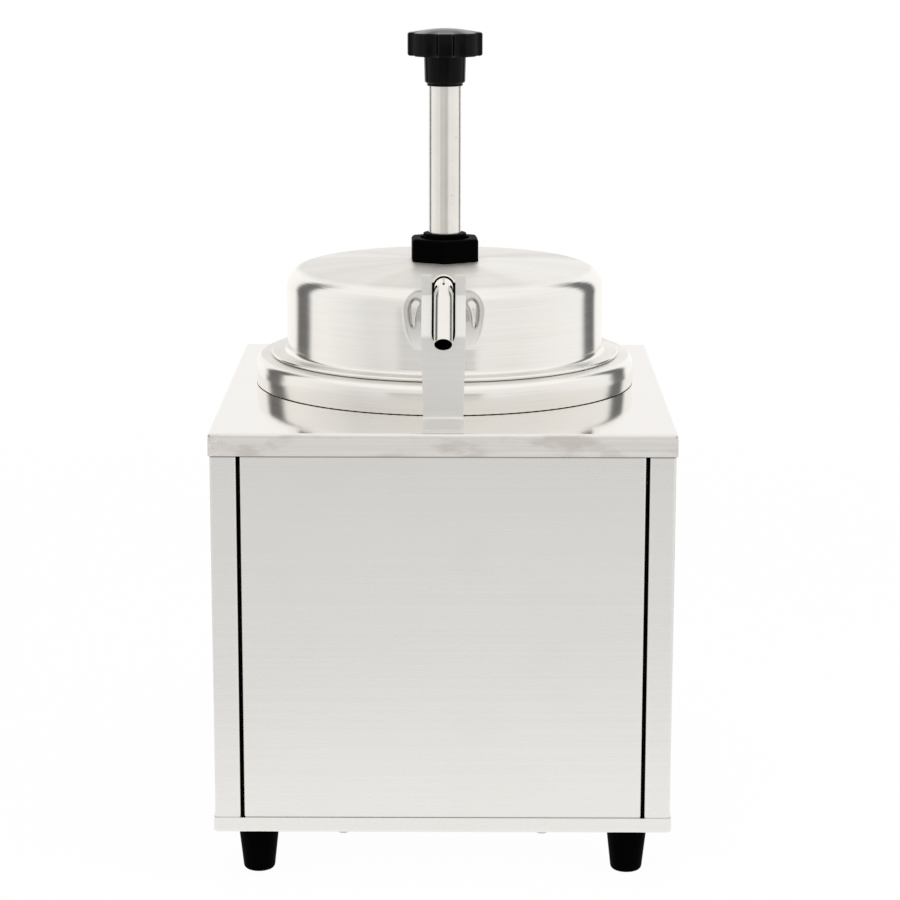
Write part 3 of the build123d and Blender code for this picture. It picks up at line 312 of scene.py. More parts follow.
class Finish(NodeMaker):
    # one material; surface() closes it with a Principled shader
    def __init__(self, name):
        self.material = bpy.data.materials.new(name)
        self.material.use_nodes = True
        super().__init__(self.material.node_tree)
        self.place = self.node("TexCoord", out=3)

    def surface(self, **sockets):
        shader = self.node("BsdfPrincipled", {}, {socketName(key): value for key, value in sockets.items()})
        self.close(shader)
        return self.material

    def close(self, shader):
        output = self.tree.nodes.new("ShaderNodeOutputMaterial")
        self.tree.links.new(shader.socket, output.inputs[0])

    def bump(self, height, distance, strength=1.0):
        return self.node("Bump", {}, {"Height": height, "Distance": distance, "Strength": strength})


def socketName(key):
    # baseColor becomes Base Color
    words = "".join(" " + letter if letter.isupper() else letter for letter in key)
    return " ".join(word.capitalize() for word in words.split()).replace("Ior", "IOR")


# ---- finishes ----

def brushedSheet(name, spec):
    # fine streaks that run level: noise stretched along x and y, so that it changes with height alone
    f = Finish(name)
    normal = f.node("NewGeometry", out=1)
    up = f.split(normal)[2].math("ABSOLUTE")
    streakWall = f.noise(f.stretch(f.place, (spec["along"], spec["along"], spec["across"])), 1.0, 4.0, 0.6)
    streakTop = f.noise(f.stretch(f.place, (spec["along"], spec["across"], 1.0)), 1.0, 4.0, 0.6)
    streak = streakWall + (streakTop - streakWall) * f.step(up, 0.5, 0.8)
    cloud = f.noise(f.place, spec["cloudScale"], 2.0, 0.5)
    patch = f.noise(f.place, spec["patchScale"], 3.0, 0.6)
    grit = f.noise(f.place, 1400.0, 1.0, 0.5)
    x, y, z = f.split(f.place)
    # painted shade: the colour drops to a quarter above shadeFrom, in the band just under and behind the
    # deck's lip
    shadeUnderLip = f.step(z, spec["shadeFrom"], spec["shadeFrom"] + 0.0009, 1.0, 0.25)
    # painted shade: side-facing faces within slitAt of the middle, in the slits beside the posts, are painted
    # nearly black
    facingSide = f.step(f.split(normal)[0].math("ABSOLUTE"), 0.5, 0.7)
    slitShade = facingSide * f.step(x.math("ABSOLUTE"), spec["slitAt"], spec["slitAt"] + 0.0004, 1.0, 0.0)
    amount = 1 + (streak - 0.5) * spec["streak"] + (cloud - 0.5) * spec["cloud"] + (grit - 0.5) * 0.05
    amount = amount * shadeUnderLip * (1 - slitShade * 0.98)
    warm = f.step(patch, 0.5, 0.72, 0.0, spec["warmth"])
    colour = f.blend(warm, spec["colour"] + (1,), spec["warm"] + (1,))
    rough = spec["rough"] + (streak - 0.5) * 0.12 + (cloud - 0.5) * 0.08
    wave = f.noise(f.place, 9.0, 1.0, 0.4)
    relief = f.bump(wave * 12 + streak * 0.35 + grit * 0.1, spec["relief"])
    return f.surface(baseColor=f.tone(colour, amount), metallic=1.0, roughness=rough, normal=relief)


def deckSheet(name, spec):
    # near-mirror top with soft haze; the lip is streaked and blotched, and grainy at its left end
    f = Finish(name)
    x, y, z = f.split(f.place)
    up = f.step(f.split(f.node("NewGeometry", out=1))[2].math("ABSOLUTE"), 0.5, 0.8)
    haze = f.noise(f.place, 24.0, 3.0, 0.55)
    streak = f.noise(f.stretch(f.place, (4.0, 4.0, 900.0)), 1.0, 4.0, 0.65)
    fine = f.noise(f.stretch(f.place, (6.0, 500.0, 1.0)), 1.0, 3.0, 0.6)
    blotch = f.step(f.noise(f.stretch(f.place, (34.0, 34.0, 90.0)), 1.0, 3.0, 0.6), 0.46, 0.66)
    grit = f.noise(f.place, 1100.0, 2.0, 0.6)
    weld = f.step(x, -spec["weldEdge"], -spec["weldEdge"] + 0.002, 1.0, 0.0)
    lipGrain = (grit - 0.5) * (weld * 0.7 + 0.06)
    lipTone = 1 + (streak - 0.5) * spec["streak"] - blotch * spec["blotch"] + lipGrain
    topTone = 1 + (fine - 0.5) * 0.05 + (haze - 0.5) * 0.05
    colour = f.blend(up, f.tone(spec["lipColour"], lipTone), f.tone(spec["colour"], topTone))
    warm = f.blend(blotch * (1 - up) * spec["warmth"], colour, spec["warm"] + (1,))
    lipRough = spec["lipRough"] + (streak - 0.5) * 0.2 + weld * 0.15
    rough = lipRough + (spec["rough"] + (haze - 0.5) * 0.05 - lipRough) * up
    relief = f.bump(streak * (1 - up) + haze * 3 + grit * weld * 4, spec["relief"])
    return f.surface(baseColor=warm, metallic=1.0, roughness=rough, normal=relief)


def spunSheet(name, spec):
    # rings about the jar's axis: noise over the radius plus the height, nearly even round the axis
    f = Finish(name)
    centred = f.node("Mapping", {"vector_type": "POINT"}, {0: f.place, 1: (0, -axisY, 0)})
    x, y, z = f.split(centred)
    radius = (x * x + y * y).math("SQRT")
    roundRadius = radius + 0.001
    outwards = (radius + z) * spec["across"]
    around = f.join(x / roundRadius * spec["along"], y / roundRadius * spec["along"], outwards)
    ring = f.noise(around, 1.0, 5.0, 0.65)
    wide = f.noise(f.join(x / roundRadius * 0.6, y / roundRadius * 0.6, outwards * 0.12), 1.0, 2.0, 0.5)
    # painted reflection: soft sectors round the axis stand for the spun grain's fan-shaped highlights,
    # strongest on the top
    sectorReflection = f.noise(f.join(x / roundRadius * 1.7, y / roundRadius * 1.7, 0.4), 1.0, 2.0, 0.55)
    cloud = f.noise(f.place, 14.0, 2.0, 0.5)
    up = f.step(f.split(f.node("NewGeometry", out=1))[2], 0.75, 0.97)
    # painted shade: the faces that look up are dimmed a little
    amount = (1 + (ring - 0.5) * spec["streak"] + (wide - 0.5) * spec["wide"] - up * spec["topPaintedShade"]
              + (sectorReflection - 0.5) * (spec["sectorReflection"] + up * spec["topSectorReflection"]) + (cloud - 0.5) * 0.05)
    # painted shade from the lid's relief, read from the shade attribute
    amount = amount * (1 - f.node("Attribute", {"attribute_name": "shade"}, out=2))
    warm = f.step(cloud, 0.42, 0.7, 0.0, spec["warmth"])
    colour = f.blend(warm, spec["colour"] + (1,), spec["warm"] + (1,))
    rough = spec["rough"] + (ring - 0.5) * 0.14 + (wide - 0.5) * 0.06 + up * spec["topRough"]
    relief = f.bump(ring + wide * 0.6, spec["relief"])
    return f.surface(baseColor=f.tone(colour, amount), metallic=1.0, roughness=rough,
                     anisotropic=spec["anisotropic"], anisotropicRotation=spec["turn"], normal=relief)


def polishedTube(name, spec):
    # drawn tube: a few long scratches along it, small pits, faint stains
    f = Finish(name)
    scratchPlace = f.stretch(f.place, spec["stretch"])
    scratch = f.noise(scratchPlace, 1.0, 3.0, 0.6)
    line = f.step(scratch, 0.66, 0.74)
    pit = f.step(f.noise(f.place, 620.0, 1.0, 0.5), 0.74, 0.8)
    stain = f.noise(f.place, 60.0, 3.0, 0.6)
    amount = 1 - pit * spec["pits"] - line * spec["scratches"] + (stain - 0.5) * spec["stain"]
    rough = spec["rough"] + line * 0.15 + stain * 0.06
    relief = f.bump(scratch * 0.4 + stain * 0.6, spec["relief"])
    return f.surface(baseColor=f.tone(spec["colour"], amount), metallic=1.0, roughness=rough, normal=relief)


def mouldedPlastic(name, spec):
    # moulded surface: fine grain, pale flecks of dust, and pale edges that are partly rubbed wear and partly
    # painted highlight
    f = Finish(name)
    grain = f.noise(f.place, spec["grainScale"], 3.0, 0.6)
    speck = f.noise(f.place, spec["fleckScale"], 2.0, 0.5)
    fleck = f.step(speck, spec["fleckStart"], spec["fleckStart"] + 0.05)
    cloud = f.noise(f.place, 45.0, 2.0, 0.5)
    # pale along sharp edges: part wear, part painted highlight, strongest on the knob
    edge = f.step(f.node("NewGeometry", out=7), 0.52, 0.62, 0.0, spec["wear"])
    base = f.tone(spec["colour"], 1 + (grain - 0.5) * 0.5 + (cloud - 0.5) * 0.5)
    colour = f.blend(fleck * spec["flecks"] + edge, base, spec["fleckColour"] + (1,))
    rough = spec["rough"] + (grain - 0.5) * 0.2 + (cloud - 0.5) * 0.1 + fleck * 0.2
    relief = f.bump(grain, spec["relief"])
    return f.surface(baseColor=colour, roughness=rough, specularIorLevel=spec["shine"], normal=relief)


sheetSpec = {"colour": (0.85, 0.84, 0.82), "warm": (0.82, 0.80, 0.775), "warmth": 0.3, "along": 2.5,
             "across": 520.0, "cloudScale": 5.0, "patchScale": 16.0, "streak": 0.09, "cloud": 0.05,
             "rough": 0.27, "relief": 0.00002, "shadeFrom": 9.0, "slitAt": 0.0}
deckSpec = {"colour": (0.86, 0.84, 0.815), "lipColour": (0.88, 0.86, 0.83), "warm": (0.66, 0.57, 0.53),
            "warmth": 0.35, "weldEdge": 0.122, "streak": 0.35, "blotch": 0.10, "rough": 0.09, "lipRough": 0.3,
            "relief": 0.00001}
spunSpec = {"colour": (0.93, 0.915, 0.885), "warm": (0.92, 0.87, 0.81), "warmth": 0.5, "along": 1.4,
            "across": 1500.0, "streak": 0.16, "wide": 0.07, "sectorReflection": 0.10, "rough": 0.17,
            "topPaintedShade": 0.10, "topSectorReflection": 0.35, "topRough": 0.25, "relief": 0.000010,
            "anisotropic": 0.6, "turn": 0.25}
tubeSpec = {"colour": (0.90, 0.87, 0.83), "stretch": (900.0, 900.0, 22.0), "rough": 0.09, "pits": 0.45,
            "scratches": 0.12, "stain": 0.10, "relief": 0.000006}
blackSpec = {"colour": (0.0006, 0.0006, 0.0006), "grainScale": 900.0, "fleckScale": 420.0, "fleckStart": 0.74,
             "flecks": 0.05, "fleckColour": (0.20, 0.19, 0.18), "wear": 0.01, "rough": 0.2, "shine": 0.12,
             "relief": 0.00001}

finishes = {
    "brushed_panel": brushedSheet("brushedPanel", dict(sheetSpec, shadeFrom=0.2413, slitAt=0.1135)),
    "deck_sheet": deckSheet("deckSheet", deckSpec),
    "spun_steel": spunSheet("spunSteel", spunSpec),
    "polished_tube": polishedTube("polishedTube", tubeSpec),
    "strip_metal": brushedSheet("stripMetal", dict(sheetSpec, colour=(0.88, 0.87, 0.85), warmth=0.1,
                                                         rough=0.4)),
    "plunger_satin": polishedTube("plungerSatin", dict(tubeSpec, rough=0.19, stain=0.16, scratches=0.2)),
    "inner_steel": brushedSheet("innerSteel", dict(sheetSpec, rough=0.35)),
    "fastener_steel": polishedTube("fastenerSteel", dict(tubeSpec, colour=(0.55, 0.54, 0.52), rough=0.25)),
    "foot_rubber": mouldedPlastic("footRubber", dict(blackSpec, rough=0.55, shine=0.01)),
    "seal_rubber": mouldedPlastic("sealRubber", dict(blackSpec, rough=0.6, shine=0.03)),
    "bore_dark": mouldedPlastic("boreDark", dict(blackSpec, rough=0.8, shine=0.0)),
    "knob_plastic": mouldedPlastic("knobPlastic", dict(blackSpec, rough=0.14, shine=0.11, wear=0.2)),
    "nut_plastic": mouldedPlastic("nutPlastic", dict(blackSpec, rough=0.5, shine=0.01, flecks=0.3)),
    "control_plastic": mouldedPlastic("controlPlastic", dict(blackSpec, colour=(0.012, 0.012, 0.012),
                                                             rough=0.38)),
    "pump_plastic": mouldedPlastic("pumpPlastic", dict(blackSpec, colour=(0.72, 0.71, 0.68), rough=0.4)),
    "dial_metal": brushedSheet("dialMetal", dict(sheetSpec, colour=(0.62, 0.62, 0.62))),
    "lamp_amber": mouldedPlastic("lampAmber", dict(blackSpec, colour=(0.75, 0.25, 0.02), rough=0.12)),
    "heater_metal": brushedSheet("heaterMetal", dict(sheetSpec, colour=(0.45, 0.44, 0.42), rough=0.45)),
    "ceramic": mouldedPlastic("ceramic", dict(blackSpec, colour=(0.78, 0.75, 0.68), rough=0.5)),
    "glass_wool": mouldedPlastic("glassWool", dict(blackSpec, colour=(0.75, 0.68, 0.4), rough=0.9)),
    "copper_capillary": polishedTube("copperCapillary", dict(tubeSpec, colour=(0.72, 0.36, 0.22),
                                                                   rough=0.25)),
    "brass": polishedTube("brass", dict(tubeSpec, colour=(0.75, 0.56, 0.25), rough=0.25)),
    "wire_cover": mouldedPlastic("wireCover", dict(blackSpec, colour=(0.55, 0.54, 0.5), rough=0.6)),
    "conductor_metal": brushedSheet("conductorMetal", dict(sheetSpec, colour=(0.70, 0.70, 0.70))),
}


def dressNodes():
    # every CAD node takes the finish of its record slot
    for part in frame["record"]["subparts"]:
        for place in nodes[part["node"]].material_slots:
            place.material = finishes[part["material_slot"]]
    for place in nodes["top_deck"].material_slots:
        place.material = finishes["deck_sheet"]


dressNodes()
print("finishes made:", len(finishes))


# ---- lid, jar and ring ----

lid = {"flangeRadius": 0.1016, "wallRadius": 0.0926, "flangeHeight": 0.0188, "shoulderHeight": 0.0675,
       "crownRadius": 0.060, "crownHeight": 0.0704, "bossRadius": 0.027, "topHeight": 0.0716,
       "holeRadius": 0.01455, "bends": (0.0034, 0.012, 0.140, 0.030), "wall": 0.0008,
       "beadRadius": 0.0011, "beadHeight": 0.0183, "reliefProud": 0.0010, "reliefSlope": 0.0016,
       "hollowSlope": 0.0008, "reliefFade": (0.034, 0.050), "rimWidth": 0.0006, "bandShade": 0.30,
       "rimShade": 0.42, "reliefAngle": 18.0, "fineStep": 0.00055, "frontColumns": 150, "restColumns": 150,
       "fineFrom": 0.024, "fineTo": 0.070, "fineRadius": 0.075}
padSide = np.array([(13.0, 66.0), (16.4, 65.3), (19.5, 63.0), (21.4, 59.5), (22.0, 55.5), (21.5, 50.5),
                    (20.8, 45.5), (19.3, 40.5), (17.0, 35.5), (14.5, 30.5), (13.0, 26.0)]) / 1000
hollowLoop = np.array([(12.9, 60.5), (15.8, 62.1), (18.1, 60.5), (19.0, 57.4), (18.8, 52.6), (18.2, 48.3),
                       (16.9, 46.4), (15.9, 48.0), (15.5, 52.5), (14.6, 56.6)]) / 1000
padEnds = np.array([(0.0, 24.5), (0.0, 66.4)]) / 1000


def lidLine():
    # flange, foot bend, wall, shoulder, crown and boss, from the edge to the hole
    heights = deckTop + np.array([lid["flangeHeight"], lid["flangeHeight"], lid["shoulderHeight"],
                                  lid["crownHeight"], lid["topHeight"], lid["topHeight"]])
    radii = np.array([lid["flangeRadius"], lid["wallRadius"], lid["wallRadius"], lid["crownRadius"],
                      lid["bossRadius"], lid["holeRadius"]])
    return roundedLine(np.stack([radii, heights], 1), lid["bends"], 12)


def smoothLoop(points, steps=6):
    # a closed curve through the points: each span is a cubic whose slopes follow the neighbours
    share = np.linspace(0, 1, steps, endpoint=False)[:, None, None]
    before, after, second = np.roll(points, 1, 0), np.roll(points, -1, 0), np.roll(points, -2, 0)
    spans = (points + share * (after - before) / 2
             + share ** 2 * (before - 2.5 * points + 2 * after - second / 2)
             + share ** 3 * (1.5 * (points - after) + (second - before) / 2))
    return spans.transpose(1, 0, 2).reshape(-1, 2)


def depthInside(x, z, loop):
    # distance to the closed loop, positive inside it, where a ray to the right crosses it oddly often
    nearest = np.full(x.shape, 1.0)
    odd = np.zeros(x.shape, bool)
    for start, end in zip(loop, np.roll(loop, -1, 0)):
        run = end - start
        share = ((x - start[0]) * run[0] + (z - start[1]) * run[1]) / (run @ run)
        share = np.clip(share, 0, 1)
        nearest = np.minimum(nearest, np.hypot(x - start[0] - share * run[0], z - start[1] - share * run[1]))
        spans = (start[1] > z) != (end[1] > z)
        rise = end[1] - start[1] if end[1] != start[1] else 1e-9
        odd ^= spans & (x < start[0] + (z - start[1]) * run[0] / rise)
    return np.where(odd, nearest, -nearest)


def softStep(value, width):
    share = np.clip(value / width / 2 + 0.5, 0, 1)
    return share * share * (3 - 2 * share)


def reliefFields(x, z):
    # height and painted shade of a raised pad with soft edges and a drop-shaped hollow on each side of the
    # strip;
    # the shade darkens a band on the pad, most on the hollows' rims and the pad's edge, where its slopes would
    # mirror darker surroundings
    mirror = (-1, 1)
    pad = smoothLoop(np.vstack([padSide, padEnds[:1], (padSide * mirror)[::-1], padEnds[1:]]))
    z = z - deckTop
    drop = smoothLoop(hollowLoop)
    padDepth = depthInside(x, z, pad)
    inPad = softStep(padDepth, lid["reliefSlope"])
    hollowDepth = np.maximum(depthInside(x, z, drop), depthInside(x, z, drop * mirror))
    outOfHollow = 1 - softStep(hollowDepth, lid["hollowSlope"])
    fadeLow, fadeHigh = lid["reliefFade"]
    fade = np.clip((z - fadeLow) / (fadeHigh - fadeLow), 0, 1)
    rim = np.exp(-(hollowDepth / lid["rimWidth"]) ** 2) + 0.6 * np.exp(-(padDepth / lid["rimWidth"]) ** 2)
    shade = fade * (inPad * outOfHollow * lid["bandShade"] + rim * lid["rimShade"])
    return lid["reliefProud"] * inPad * outOfHollow * fade, shade


def makeLid():
    # the sheet's outline goes round the axis, pushed out along its own normal where the relief is
    outline, facing = sheetOutline(spacedLine(lidLine(), lid["fineStep"] * 3), lid["wall"])
    low = deckTop + lid["fineFrom"]
    high = deckTop + lid["fineTo"]
    outline, facing = refineBand(outline, facing, low, high, lid["fineStep"])
    edge = math.radians(lid["reliefAngle"])
    front = np.linspace(-edge, edge, lid["frontColumns"])
    rest = np.linspace(edge, 2 * math.pi - edge, lid["restColumns"] + 2)[1:-1]
    angles = np.concatenate([front, rest])
    plain = revolve(outline, angles, (0, axisY))
    inFront = plain[..., 1] < axisY
    ridge, shade = reliefFields(plain[..., 0], plain[..., 2])
    ridge = ridge * inFront
    pushed = outline[None] - facing[None] * ridge[..., None]
    grid = np.stack([pushed[..., 0] * np.sin(angles)[:, None],
                     axisY - pushed[..., 0] * np.cos(angles)[:, None], pushed[..., 1]], -1)
    bead = fullTurn(16)
    beadLine = np.stack([lid["flangeRadius"] + lid["beadRadius"] * np.cos(bead),
                         deckTop + lid["beadHeight"] + lid["beadRadius"] * np.sin(bead)], 1)
    surfaces = [(grid, True, True), (revolve(beadLine, fullTurn(192), (0, axisY)), True, True)]
    return makePiece("lid_shell", surfaces, shade=shade * inFront)


def refineBand(outline, facing, low, high, step):
    # the closed outline with more points between two heights
    ahead = np.roll(outline, -1, axis=0)
    length = np.linalg.norm(ahead - outline, axis=1)
    inside = (outline[:, 1] > low) & (outline[:, 1] < high) & (outline[:, 0] > lid["fineRadius"])
    pieces = np.where(inside, np.ceil(length / step), 1).astype(int)
    first = np.repeat(np.arange(len(outline)), pieces)
    order = np.concatenate([np.arange(n) for n in pieces])
    share = (order / np.repeat(pieces, pieces))[:, None]
    following = (first + 1) % len(outline)
    points = outline[first] * (1 - share) + outline[following] * share
    facings = facing[first] * (1 - share) + facing[following] * share
    return points, facings


vessel = {"rimRadius": 0.1109, "footHeight": 0.0006, "rimHeight": 0.0165, "wallRadius": 0.0905,
          "floorDrop": 0.1712, "bends": (0.0045, 0.003, 0.009), "wall": 0.001}
jar = {"flangeRadius": 0.099, "flangeHeight": 0.0177, "wallRadius": 0.0836, "floorDrop": 0.1623,
       "bends": (0.003, 0.008), "wall": 0.0008}


def makeVessel():
    line = [(vessel["rimRadius"], deckTop + vessel["footHeight"]),
            (vessel["rimRadius"], deckTop + vessel["rimHeight"]),
            (vessel["wallRadius"], deckTop + vessel["rimHeight"]),
            (vessel["wallRadius"], deckTop - vessel["floorDrop"]), (0, deckTop - vessel["floorDrop"])]
    line = spacedLine(roundedLine(line, vessel["bends"], 10), 0.012)
    return makePiece("ring_and_vessel", [shellOfSheet(line, vessel["wall"], 224)])


def makeJar():
    line = [(jar["flangeRadius"], deckTop + jar["flangeHeight"]),
            (jar["wallRadius"], deckTop + jar["flangeHeight"]),
            (jar["wallRadius"], deckTop - jar["floorDrop"]), (0, deckTop - jar["floorDrop"])]
    line = spacedLine(roundedLine(line, jar["bends"], 10), 0.012)
    return makePiece("jar_shell", [shellOfSheet(line, jar["wall"], 192)])


def shellOfSheet(line, wall, turns):
    # a sheet whose line ends on the axis: out along one side, round the free edge, back along the other
    side, ahead = lineSides(line)
    half = wall / 2
    turn = np.linspace(-math.pi / 2, math.pi / 2, 7)[1:-1, None]
    cap = line[0] - half * (side[0] * -np.sin(turn) + ahead[0] * np.cos(turn))
    under = (line - side * half)[::-1]
    over = line + side * half
    over[-1, 0] = 0
    under[0, 0] = 0
    whole = np.vstack([under, cap, over])
    return revolve(whole, fullTurn(turns), (0, axisY)), True, False


seat(makeLid(), "pump_lid", finishes["spun_steel"], "spun_steel", "lid")
seat(makeVessel(), "housing", finishes["spun_steel"], "spun_steel", "water_vessel")
seat(makeJar(), "jar", finishes["spun_steel"], "spun_steel", "food_jar")
print("lid, jar and ring made")


# ---- pump above the lid ----

nut = {"acrossFlats": 0.0388, "turn": 2.5, "chamfer": 0.0012, "cornerRound": 0.0003, "edge": 0.0003,
       "columns": 240}
collar = {"radius": 0.01265, "edge": 0.0005}
plunger = {"radius": 0.009525, "wall": 0.0012}
spout = {"radius": 0.00515, "wall": 0.00055, "mouth": (-0.1316, 0.3006), "apex": (-0.1014, 0.32735),
         "elbow": (-0.0211, 0.31607), "leg": 0.028, "apexBend": 0.0229, "elbowBend": 0.016}
sleeve = {"radius": 0.007, "bore": 0.0052, "start": (-0.0866, 0.3253), "length": 0.036, "slope": 8.0}


def softLess(first, second, softness):
    # the smaller of two values, with the corner between them rounded
    return -softness * np.logaddexp(-first / softness, -second / softness)


def makeNut():
    # each column's radius is the distance to the flat that faces it; the top edge is cut back all round
    low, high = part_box("pump_nut")
    angles = fullTurn(nut["columns"])
    flat = np.radians(nut["turn"] + 30)
    offset = (angles - flat + math.pi / 6) % (math.pi / 3) - math.pi / 6
    across = nut["acrossFlats"] / 2 / np.cos(offset)
    across = softLess(across, nut["acrossFlats"] / 2 * 1.135, nut["cornerRound"])
    edge = nut["edge"]
    hole = collar["radius"] - 0.001
    rows = [(None, hole, low.z), (across - edge, 0, low.z), (across, 0, low.z + edge),
            (across, 0, high.z - nut["chamfer"] - edge),
            (across - edge * 0.5, 0, high.z - nut["chamfer"] + edge * 0.2),
            (across - nut["chamfer"], 0, high.z - edge * 0.3), (across - nut["chamfer"] - edge, 0, high.z),
            (None, hole, high.z)]
    grid = []
    for outline, fixed, height in rows:
        radius = np.full(len(angles), fixed) if outline is None else outline
        grid.append(np.stack([radius * np.sin(angles), axisY - radius * np.cos(angles),
                              np.full(len(angles), height)], -1))
    return makePiece("lid_nut", [(np.array(grid), True, True)], 24)


def makeCollar():
    low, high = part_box("guide_bush")
    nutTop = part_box("pump_nut")[1].z
    bore = plunger["radius"] + 0.0001
    outline = roundedLine([(bore, low.z), (0.0114, low.z), (0.0114, nutTop), (collar["radius"], nutTop),
                           (collar["radius"], high.z), (bore, high.z)],
                          [0.0003, 0.0001, 0.0001, collar["edge"]], 5)
    return makePiece("guide_collar", [(revolve(outline, fullTurn(96), (0, axisY)), True, True)])


def makePlunger():
    low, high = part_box("plunger_tube")
    middle = plunger["radius"] - plunger["wall"] / 2
    line = spacedLine(np.array([(middle, low.z), (middle, high.z)]), 0.01)
    outline, facing = sheetOutline(line, plunger["wall"])
    return makePiece("plunger_stem", [(revolve(outline, fullTurn(96), (0, axisY)), True, True)])


def makeSpout():
    elbow = np.array(spout["elbow"])
    line = roundedLine([spout["mouth"], spout["apex"], elbow, elbow - (0, spout["leg"])],
                       [spout["apexBend"], spout["elbowBend"]], 24)
    walls = tubeShell(spacedLine(line, 0.004), spout["radius"], spout["radius"] - spout["wall"])
    return makePiece("spout_pipe", walls, boreDark=True)


def makeSleeve():
    slope = math.radians(sleeve["slope"])
    start = np.array(sleeve["start"])
    end = start + np.array([math.cos(slope), -math.sin(slope)]) * sleeve["length"]
    walls = tubeShell(spacedLine(np.array([start, end]), 0.003), sleeve["radius"], sleeve["bore"], 0.0003)
    return makePiece("spout_collar", walls, boreDark=True)


seat(makeNut(), "pump_lid", finishes["nut_plastic"], "nut_plastic", "pump_nut")
seat(makeCollar(), "pump_lid", finishes["nut_plastic"], "nut_plastic", "guide_bush")
seat(makePlunger(), "plunger", finishes["plunger_satin"], "polished_tube", "plunger_tube")
for pipe, replaced in ((makeSpout(), "spout_tube"), (makeSleeve(), "spout_sleeve")):
    seat(pipe, "pump_lid", finishes["polished_tube"], "polished_tube", replaced)
    # the bores take a near-black matt finish, so the insides of the tubes read dark
    pipe.data.materials.append(finishes["bore_dark"])
print("pump made")


coil = {"radius": 0.012, "wire": 0.001, "turns": 13, "stepsPerTurn": 28, "around": 14, "anchor": 0.12115,
        "stroke": 0.08}


def makeCoil():
    # a round wire carried along a screw line about the pump's axis and closed at its ends
    low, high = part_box("pump_spring")
    turn = np.linspace(0, 2 * math.pi * coil["turns"], coil["turns"] * coil["stepsPerTurn"] + 1)
    rise = (high.z - low.z - 2 * coil["wire"]) / turn[-1]
    outward = np.stack([np.cos(turn), np.sin(turn), 0 * turn], 1)
    centre = outward * coil["radius"] + (0, axisY, low.z + coil["wire"]) + np.outer(turn * rise, (0, 0, 1))
    upward = np.stack([np.sin(turn) * rise, -np.cos(turn) * rise, 0 * turn + coil["radius"]], 1)
    upward = upward / math.hypot(coil["radius"], rise)
    around = fullTurn(coil["around"])[None, :, None]
    grid = centre[:, None] + coil["wire"] * (np.cos(around) * outward[:, None]
                                             + np.sin(around) * upward[:, None])
    ends = np.repeat(centre[[0, -1], None], coil["around"], 1)
    piece = makePiece("return_coil", [(np.concatenate([ends[:1], grid, ends[1:]]), False, True)])
    return piece, high.z - low.z


spring, springLength = makeCoil()
seat(spring, "pump_lid", finishes["inner_steel"], "inner_steel", "pump_spring")
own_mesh(spring)
print("spring made")


knob = {"ringRadius": 0.0105, "ringHeight": 0.0016, "hubRadius": 0.01225, "hubFootRadius": 0.01185,
        "hubEdge": 0.0013, "hubHeight": 0.0158, "headRadius": 0.0219, "headHeight": 0.0135,
        "capHeight": 0.0022, "lobes": 8, "fluteRadius": 0.0055, "fluteDepth": 0.0026,
        "fluteTurn": -23.5, "rim": 0.0013, "lobeSoftness": 0.0003, "columns": 288}


def knobOutline(angles):
    # a circle with a round flute cut in between the lobes: along each ray the nearer of the two
    pitch = 2 * math.pi / knob["lobes"]
    offset = (angles + math.radians(knob["fluteTurn"]) + pitch / 2) % pitch - pitch / 2
    reach = knob["headRadius"] - knob["fluteDepth"] + knob["fluteRadius"]
    inside = np.maximum(knob["fluteRadius"] ** 2 - (reach * np.sin(offset)) ** 2, 0)
    flute = np.where(inside > 0, reach * np.cos(offset) - np.sqrt(inside), 1.0)
    return softLess(flute, np.full_like(flute, knob["headRadius"]), knob["lobeSoftness"])


def makeKnob():
    low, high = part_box("pump_knob")
    angles = fullTurn(knob["columns"])
    outline = knobOutline(angles)
    hubFoot = low.z + knob["ringHeight"]
    headFoot = hubFoot + knob["hubHeight"]
    headTop = headFoot + knob["headHeight"]
    stem = roundedLine([(plunger["radius"], low.z), (knob["ringRadius"], low.z),
                        (knob["ringRadius"], hubFoot), (knob["hubFootRadius"], hubFoot),
                        (knob["hubRadius"], headFoot)], [0.0004, 0.0001, knob["hubEdge"]], 6)
    rows = [(np.full_like(angles, radius), height) for radius, height in stem]
    rim = knob["rim"]
    turn = np.linspace(0, math.pi / 2, 7)
    rows += [(outline - rim * (1 - math.sin(a)), headFoot + rim * (1 - math.cos(a))) for a in turn]
    rows += [(outline - rim * (1 - math.cos(a)), headTop - rim * (1 - math.sin(a))) for a in turn]
    # the dome starts at the fluted rim, turns round inwards and rises with the square of the radius
    edgeRadius = outline - rim
    inner = edgeRadius.min()
    for share in np.linspace(1, 0, 20)[1:]:
        radius = share * (inner + (edgeRadius - inner) * share ** 6)
        rows.append((radius, headTop + knob["capHeight"] * (1 - share ** 2)))
    grid = np.array([np.stack([radius * np.sin(angles), axisY - radius * np.cos(angles),
                               np.full_like(angles, height)], -1) for radius, height in rows])
    return makePiece("lobed_knob", [(grid, False, True)])


seat(makeKnob(), "plunger", finishes["knob_plastic"], "knob_plastic", "pump_knob")
print("knob made")


# ---- forked strip ----

strip = {"line": ((-0.1501, 0.2560), (-0.1201, 0.2560), (-0.1201, 0.30296), (-0.0991, 0.32193),
                  (-0.0991, 0.3340)), "bend": 0.0026, "thickness": 0.002, "halfWidth": 0.0111,
         "forkHalfWidth": 0.0122, "widenFrom": 0.262, "widenTo": 0.3034, "slotHalf": 0.0064,
         "slotCentre": 0.3044, "edge": 0.0004}


